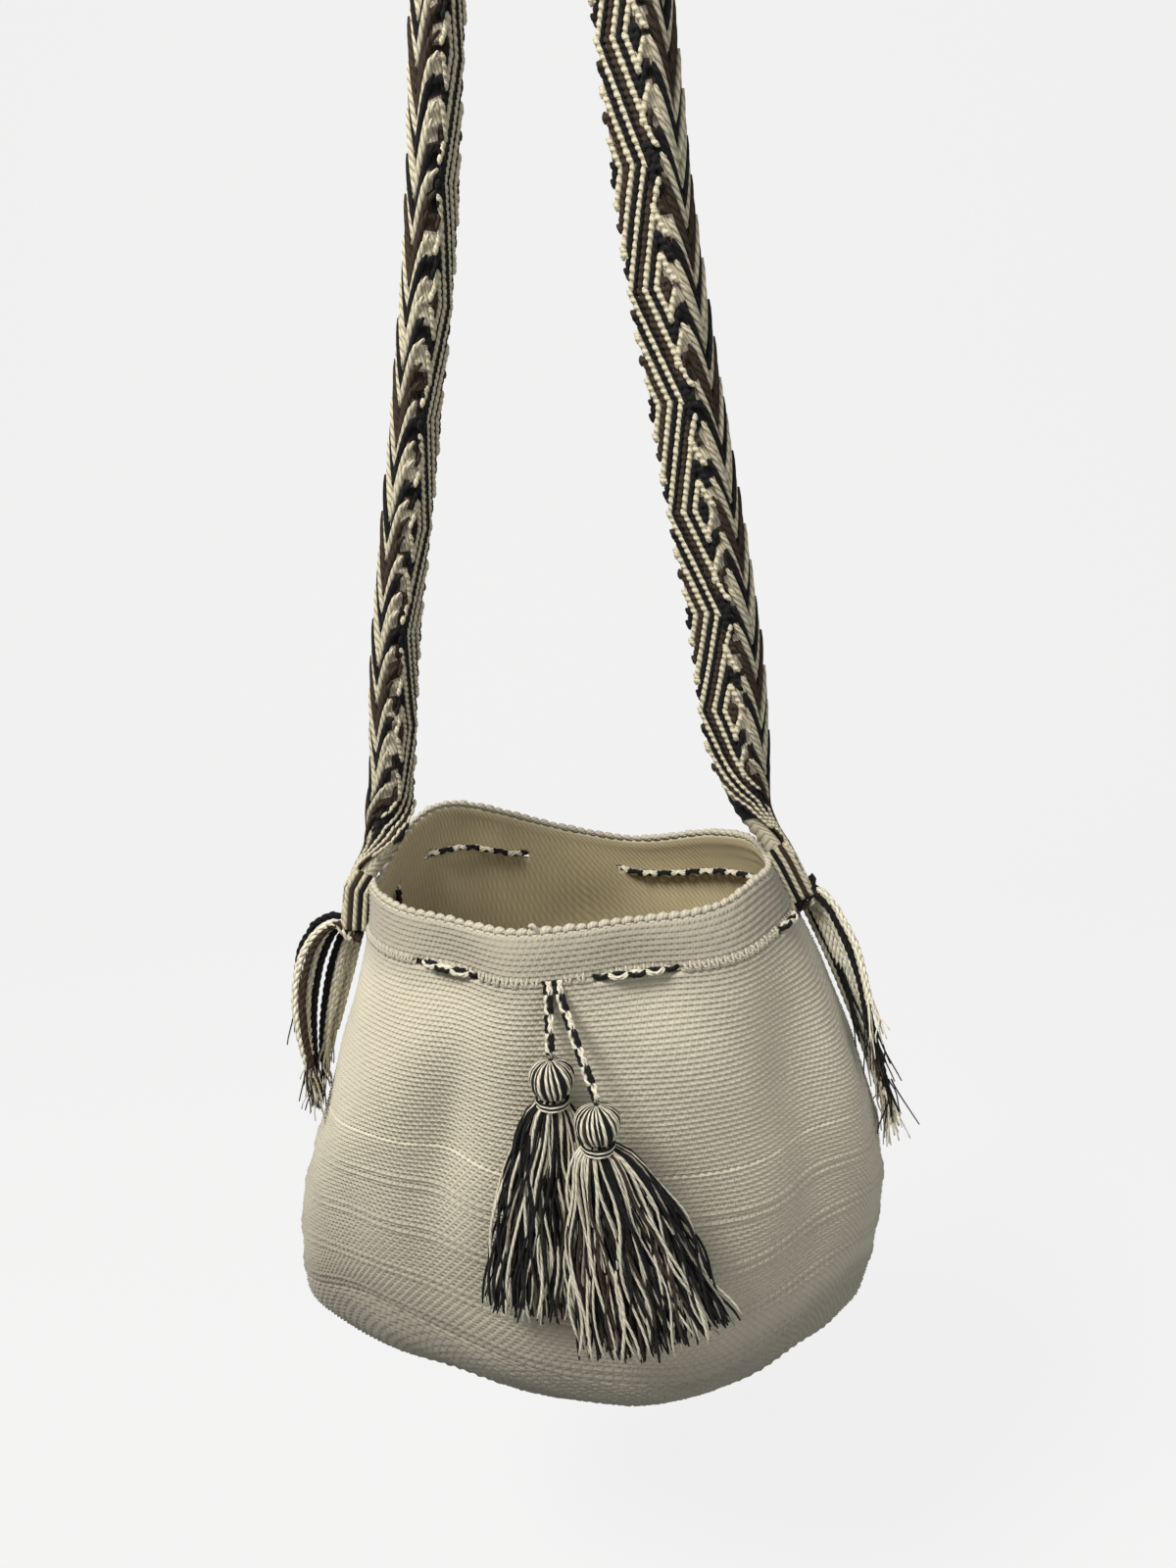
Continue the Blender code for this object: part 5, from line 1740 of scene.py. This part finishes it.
@dataclass
class Fringe:
    """Loose warp cords at one end of the strap."""

    strap: Strap
    side: StrapSide
    diameter: float = 0.0042
    pitch: float = 0.0046
    tones: tuple = (Tone.CREAM, Tone.BLACK, Tone.CREAM, Tone.BROWN, Tone.CREAM, Tone.BLACK,
                    Tone.CREAM, Tone.CREAM)
    depths: tuple = (0.003, 0.012, 0.030, 0.050, 0.070, 0.090)
    stops: tuple = (0.32, 0.54, 0.77, 1.0)
    ply_length: float = 0.0125
    ply_reach: float = 0.24
    ply_share: float = 0.26
    fibres: int = 10
    fibre_steps: int = 9
    fibre_radius: float = 0.00056
    fibre_lengths: tuple = (0.012, 0.014)
    fibre_scatter: tuple = (0.0009, 0.0024)
    fibre_bend: float = 0.0015
    fibre_fall: float = 0.004
    slots: dict = field(default_factory=lambda: {
        Tone.CREAM: "cream_fringe", Tone.BLACK: "black_fringe", Tone.BROWN: "brown_fringe"})

    def route(self, lane: float, length: float, rise: float = 0.0) -> list:
        """One cord: out of the strap's end, over in an arc, and down along the wall.

        Args:
            lane: Place in the bunch, from 0 for the outermost to 7 by the wall.
            length: How far down the wall the cord reaches, in metres.
            rise: How far the cord first loops up above the strap's end.

        Returns:
            Points along the cord.
        """
        strap, form, side = self.strap, self.strap.form, self.side
        end = strap.sewn_end(side, 0.0)
        down = unit(end - strap.sewn_end(side, strap.sewn_length / 2))
        outwards = np.array((-side.sign * down[2], 0.0, side.sign * down[0]))
        row, layer = (int(lane // 2), 1.0 - lane % 2 * 0.9) if lane >= 0 else (3, 1.4)
        shift = (row - 1.5) * self.pitch
        start = end + down * 4 * form.rest_gap + outwards * (layer - 0.5) * self.pitch
        start[1] += shift
        points = [start, start + down * self.diameter]
        if rise > 0.0:
            points.append(start + outwards * rise * 0.8 + UP * rise)
        resting = form.course_relief + form.rest_gap + self.diameter * 0.55
        outer = 1.0 - lane / 7.5
        degree = form.degree_length(side.angle, strap.sewn_length)
        lower = (length * share for share in self.stops)
        for depth in (*self.depths[:2], *lower):
            share = depth / length
            spread = float(np.interp(depth, self.depths, side.fringe_spread))
            lift = resting + max(spread - resting, 0.0) * outer + 0.0012 * (row % 2)
            fan = 1 + 0.5 * float(blend(share, 0.0, 0.7))
            angle = side.angle + side.sign * shift * fan / degree + side.fringe_drift * share**1.4
            points.append(form.skin(angle, (strap.sewn_length + depth) / form.wall_length, lift))
        return points

    def build(self) -> None:
        """Makes the eight cords, one more that lies over them, and all their frayed tips."""
        side, sign = self.side.name, self.side.sign
        frays = YarnSet(f"{side}_fringe_tips", 3)
        lengths = self.side.fringe_lengths
        cords = [(lane, lengths[lane], 0.0) for lane in self.side.fringe_lanes] + [self.side.extra_cord]
        for number, (place, tone) in enumerate(zip(cords, self.tones + (Tone.BLACK,))):
            line = smooth_path(self.route(*place), 0.0016)
            chance = np.random.default_rng(50 + number + 10 * sign)
            yarns = YarnSet(f"{side}_fringe_{number + 1}", 5)
            _, first, second = frames_along(line[None])
            run = np.linspace(0, path_length(line), len(line))
            for ply in range(3):
                turn = 2 * math.pi * (run / self.ply_length + ply / 3)
                reach = self.diameter * self.ply_reach
                path = line + (first[0] * np.cos(turn)[:, None] + second[0] * np.sin(turn)[:, None]) * reach
                yarns.add(path[None], self.diameter * self.ply_share, tone.value)
            node = f"{side}_fringe_cord_{number + 1}"
            piece = add_piece(f"{node}_yarn", yarns.mesh(), FRINGE_YARN.material(), Body.BAG,
                              (node,) if number < len(self.tones) else ())
            self.fray(frays, line, tone, chance)
        add_piece(f"{side}_fringe_tips", frays.mesh(), FRAYED_YARN.material(), Body.BAG)

    def fray(self, frays: YarnSet, line: np.ndarray, tone: Tone, chance: np.random.Generator) -> None:
        """Fine loose fibres at a cord's cut end."""
        count = self.fibres
        ahead = unit(line[-1] - line[-4])
        share = np.linspace(0, 1, self.fibre_steps)[None, :, None]
        scatter = chance.standard_normal((count, 1, 3))
        scatter = scatter - ahead * (scatter @ ahead)[..., None]
        away = unit(line[-1] - np.array((0.0, 0.0, line[-1][2])))
        scatter = scatter + away * np.abs(scatter @ away)[..., None] * 0.35
        shortest, more = self.fibre_lengths
        reach = shortest + more * chance.random((count, 1, 1))
        bend = chance.standard_normal((count, 1, 3)) * np.sin(5.0 * share)
        start, spread = self.fibre_scatter
        paths = line[-3] + scatter * start + ahead * reach * share + scatter * spread * share**1.4
        paths = paths + bend * self.fibre_bend * share - UP * self.fibre_fall * share**2
        frays.add(paths, self.fibre_radius * (1 - 0.35 * share[..., 0]), tone.value)


def turned(*columns: np.ndarray) -> Matrix:
    """A rotation whose columns are the given vectors."""
    return Matrix([[float(vector[i]) for vector in columns] for i in range(3)])


@dataclass(frozen=True)
class Lamp:
    """A soft square lamp: its place, its power in watts, its width and its colour."""

    name: str
    place: tuple
    power: float
    width: float
    colour: tuple


LAMPS = (
    Lamp("key", (-0.78, -0.84, 0.86), 39.5, 0.55, (1.0, 0.98, 0.94)),
    Lamp("fill", (1.3, -1.2, 0.1), 8.0, 1.2, (0.97, 0.985, 1.0)),
)


@dataclass
class Studio:
    """Camera, lamps, floor and world."""

    place: tuple = (0.0083, -0.552, -0.348)
    pitch: float = 17.2
    roll: float = 2.19
    lens: float = 27.0
    floor_z: float = -1.12
    floor_glow: float = 0.84
    world_light: float = 0.26
    world_glow: float = 0.70
    aim: tuple = (0.0, 0.0, -0.62)

    def build_camera(self) -> None:
        """The camera at the photograph's viewing angle."""
        pitch, roll = math.radians(self.pitch), math.radians(self.roll)
        ahead = np.array((0.0, math.cos(pitch), -math.sin(pitch)))
        level = np.array((1.0, 0.0, 0.0))
        high = np.array((0.0, math.sin(pitch), math.cos(pitch)))
        right = math.cos(roll) * level - math.sin(roll) * high
        top = math.cos(roll) * high + math.sin(roll) * level
        data = bpy.data.cameras.new("camera")
        data.lens = self.lens
        data.sensor_width = 36.0
        data.clip_start = 0.02
        camera = bpy.data.objects.new("camera", data)
        camera.matrix_world = Matrix.Translation(self.place) @ turned(right, top, -ahead).to_4x4()
        bpy.context.scene.collection.objects.link(camera)
        bpy.context.scene.camera = camera

    def build_world(self) -> None:
        """A white surround for the eye, and a softer one as light."""
        world = bpy.data.worlds.new("studio")
        world.use_nodes = True
        make = ShaderTree(world.node_tree)
        background = world.node_tree.nodes["Background"]
        background.inputs["Color"].default_value = (1.0, 0.99, 0.975, 1)
        path = make.node("ShaderNodeLightPath")
        seen = make.math("MAXIMUM", path.outputs["Is Camera Ray"], path.outputs["Is Glossy Ray"])
        strength = make.plus(self.world_light, make.times(seen, self.world_glow))
        make.link(strength, background.inputs["Strength"])
        bpy.context.scene.world = world

    def build_floor(self) -> None:
        """A pale floor that sweeps up into the backdrop, nearly white to the eye, with the bag's shadow."""
        half, back, radius = 6.0, 1.3, 0.9
        profile = [(-half, self.floor_z), (0.0, self.floor_z)]
        for turn in np.radians(np.linspace(0, 90, 15)):
            profile.append((back + radius * math.sin(turn), self.floor_z + radius * (1 - math.cos(turn))))
        profile.append((back + radius, 5.0))
        corners = [(side * half, y, z) for y, z in profile for side in (-1, 1)]
        count = len(profile) - 1
        faces = [(2 * i, 2 * i + 1, 2 * i + 3, 2 * i + 2) for i in range(count)]
        mesh = bpy.data.meshes.new("floor")
        mesh.from_pydata(corners, [], faces)
        mesh.shade_smooth()
        material = bpy.data.materials.new("pale_floor")
        material.use_nodes = True
        make = ShaderTree(material.node_tree)
        shader = material.node_tree.nodes["Principled BSDF"]
        shader.inputs["Base Color"].default_value = (0.42, 0.417, 0.41, 1)
        shader.inputs["Roughness"].default_value = 0.9
        path = make.node("ShaderNodeLightPath")
        glow = make.node("ShaderNodeEmission")
        mix = make.node("ShaderNodeMixShader")
        make.link(make.times(path.outputs["Is Camera Ray"], self.floor_glow), mix.inputs[0])
        make.link(shader.outputs[0], mix.inputs[1])
        make.link(glow.outputs[0], mix.inputs[2])
        make.link(mix.outputs[0], material.node_tree.nodes["Material Output"].inputs["Surface"])
        mesh.materials.append(material)
        floor = bpy.data.objects.new("floor", mesh)
        bpy.context.scene.collection.objects.link(floor)

    def build_lamp(self, lamp: Lamp) -> None:
        """A lamp that faces the bag's middle."""
        data = bpy.data.lights.new(lamp.name, "AREA")
        data.energy, data.size, data.color = lamp.power, lamp.width, lamp.colour
        item = bpy.data.objects.new(lamp.name, data)
        item.location = lamp.place
        back = unit(np.array(lamp.place) - np.array(self.aim))
        side = unit(np.cross(UP, back))
        item.rotation_euler = turned(side, np.cross(back, side), back).to_euler()
        bpy.context.scene.collection.objects.link(item)

    def build(self) -> None:
        """Makes the whole studio."""
        self.build_camera()
        self.build_world()
        self.build_floor()
        for lamp in LAMPS:
            self.build_lamp(lamp)
        bpy.context.scene.view_settings.view_transform = "Standard"


def main() -> None:
    """Builds the studio and every piece, cords first."""
    logging.basicConfig(level=logging.INFO, format="%(message)s")
    Studio().build()
    form = BagForm()
    bag = CrochetBag(form)
    braid = Braid()
    tassels = [Tassel(form, size, braid) for size in (LEFT_TASSEL, RIGHT_TASSEL)]
    strap = Strap(form)
    fringes = [Fringe(strap, side) for side in (LEFT_SIDE, RIGHT_SIDE)]
    for part in (*tassels, *fringes, Drawstring(form, bag, braid), bag, strap):
        part.build()


if __name__ == "__main__":
    main()
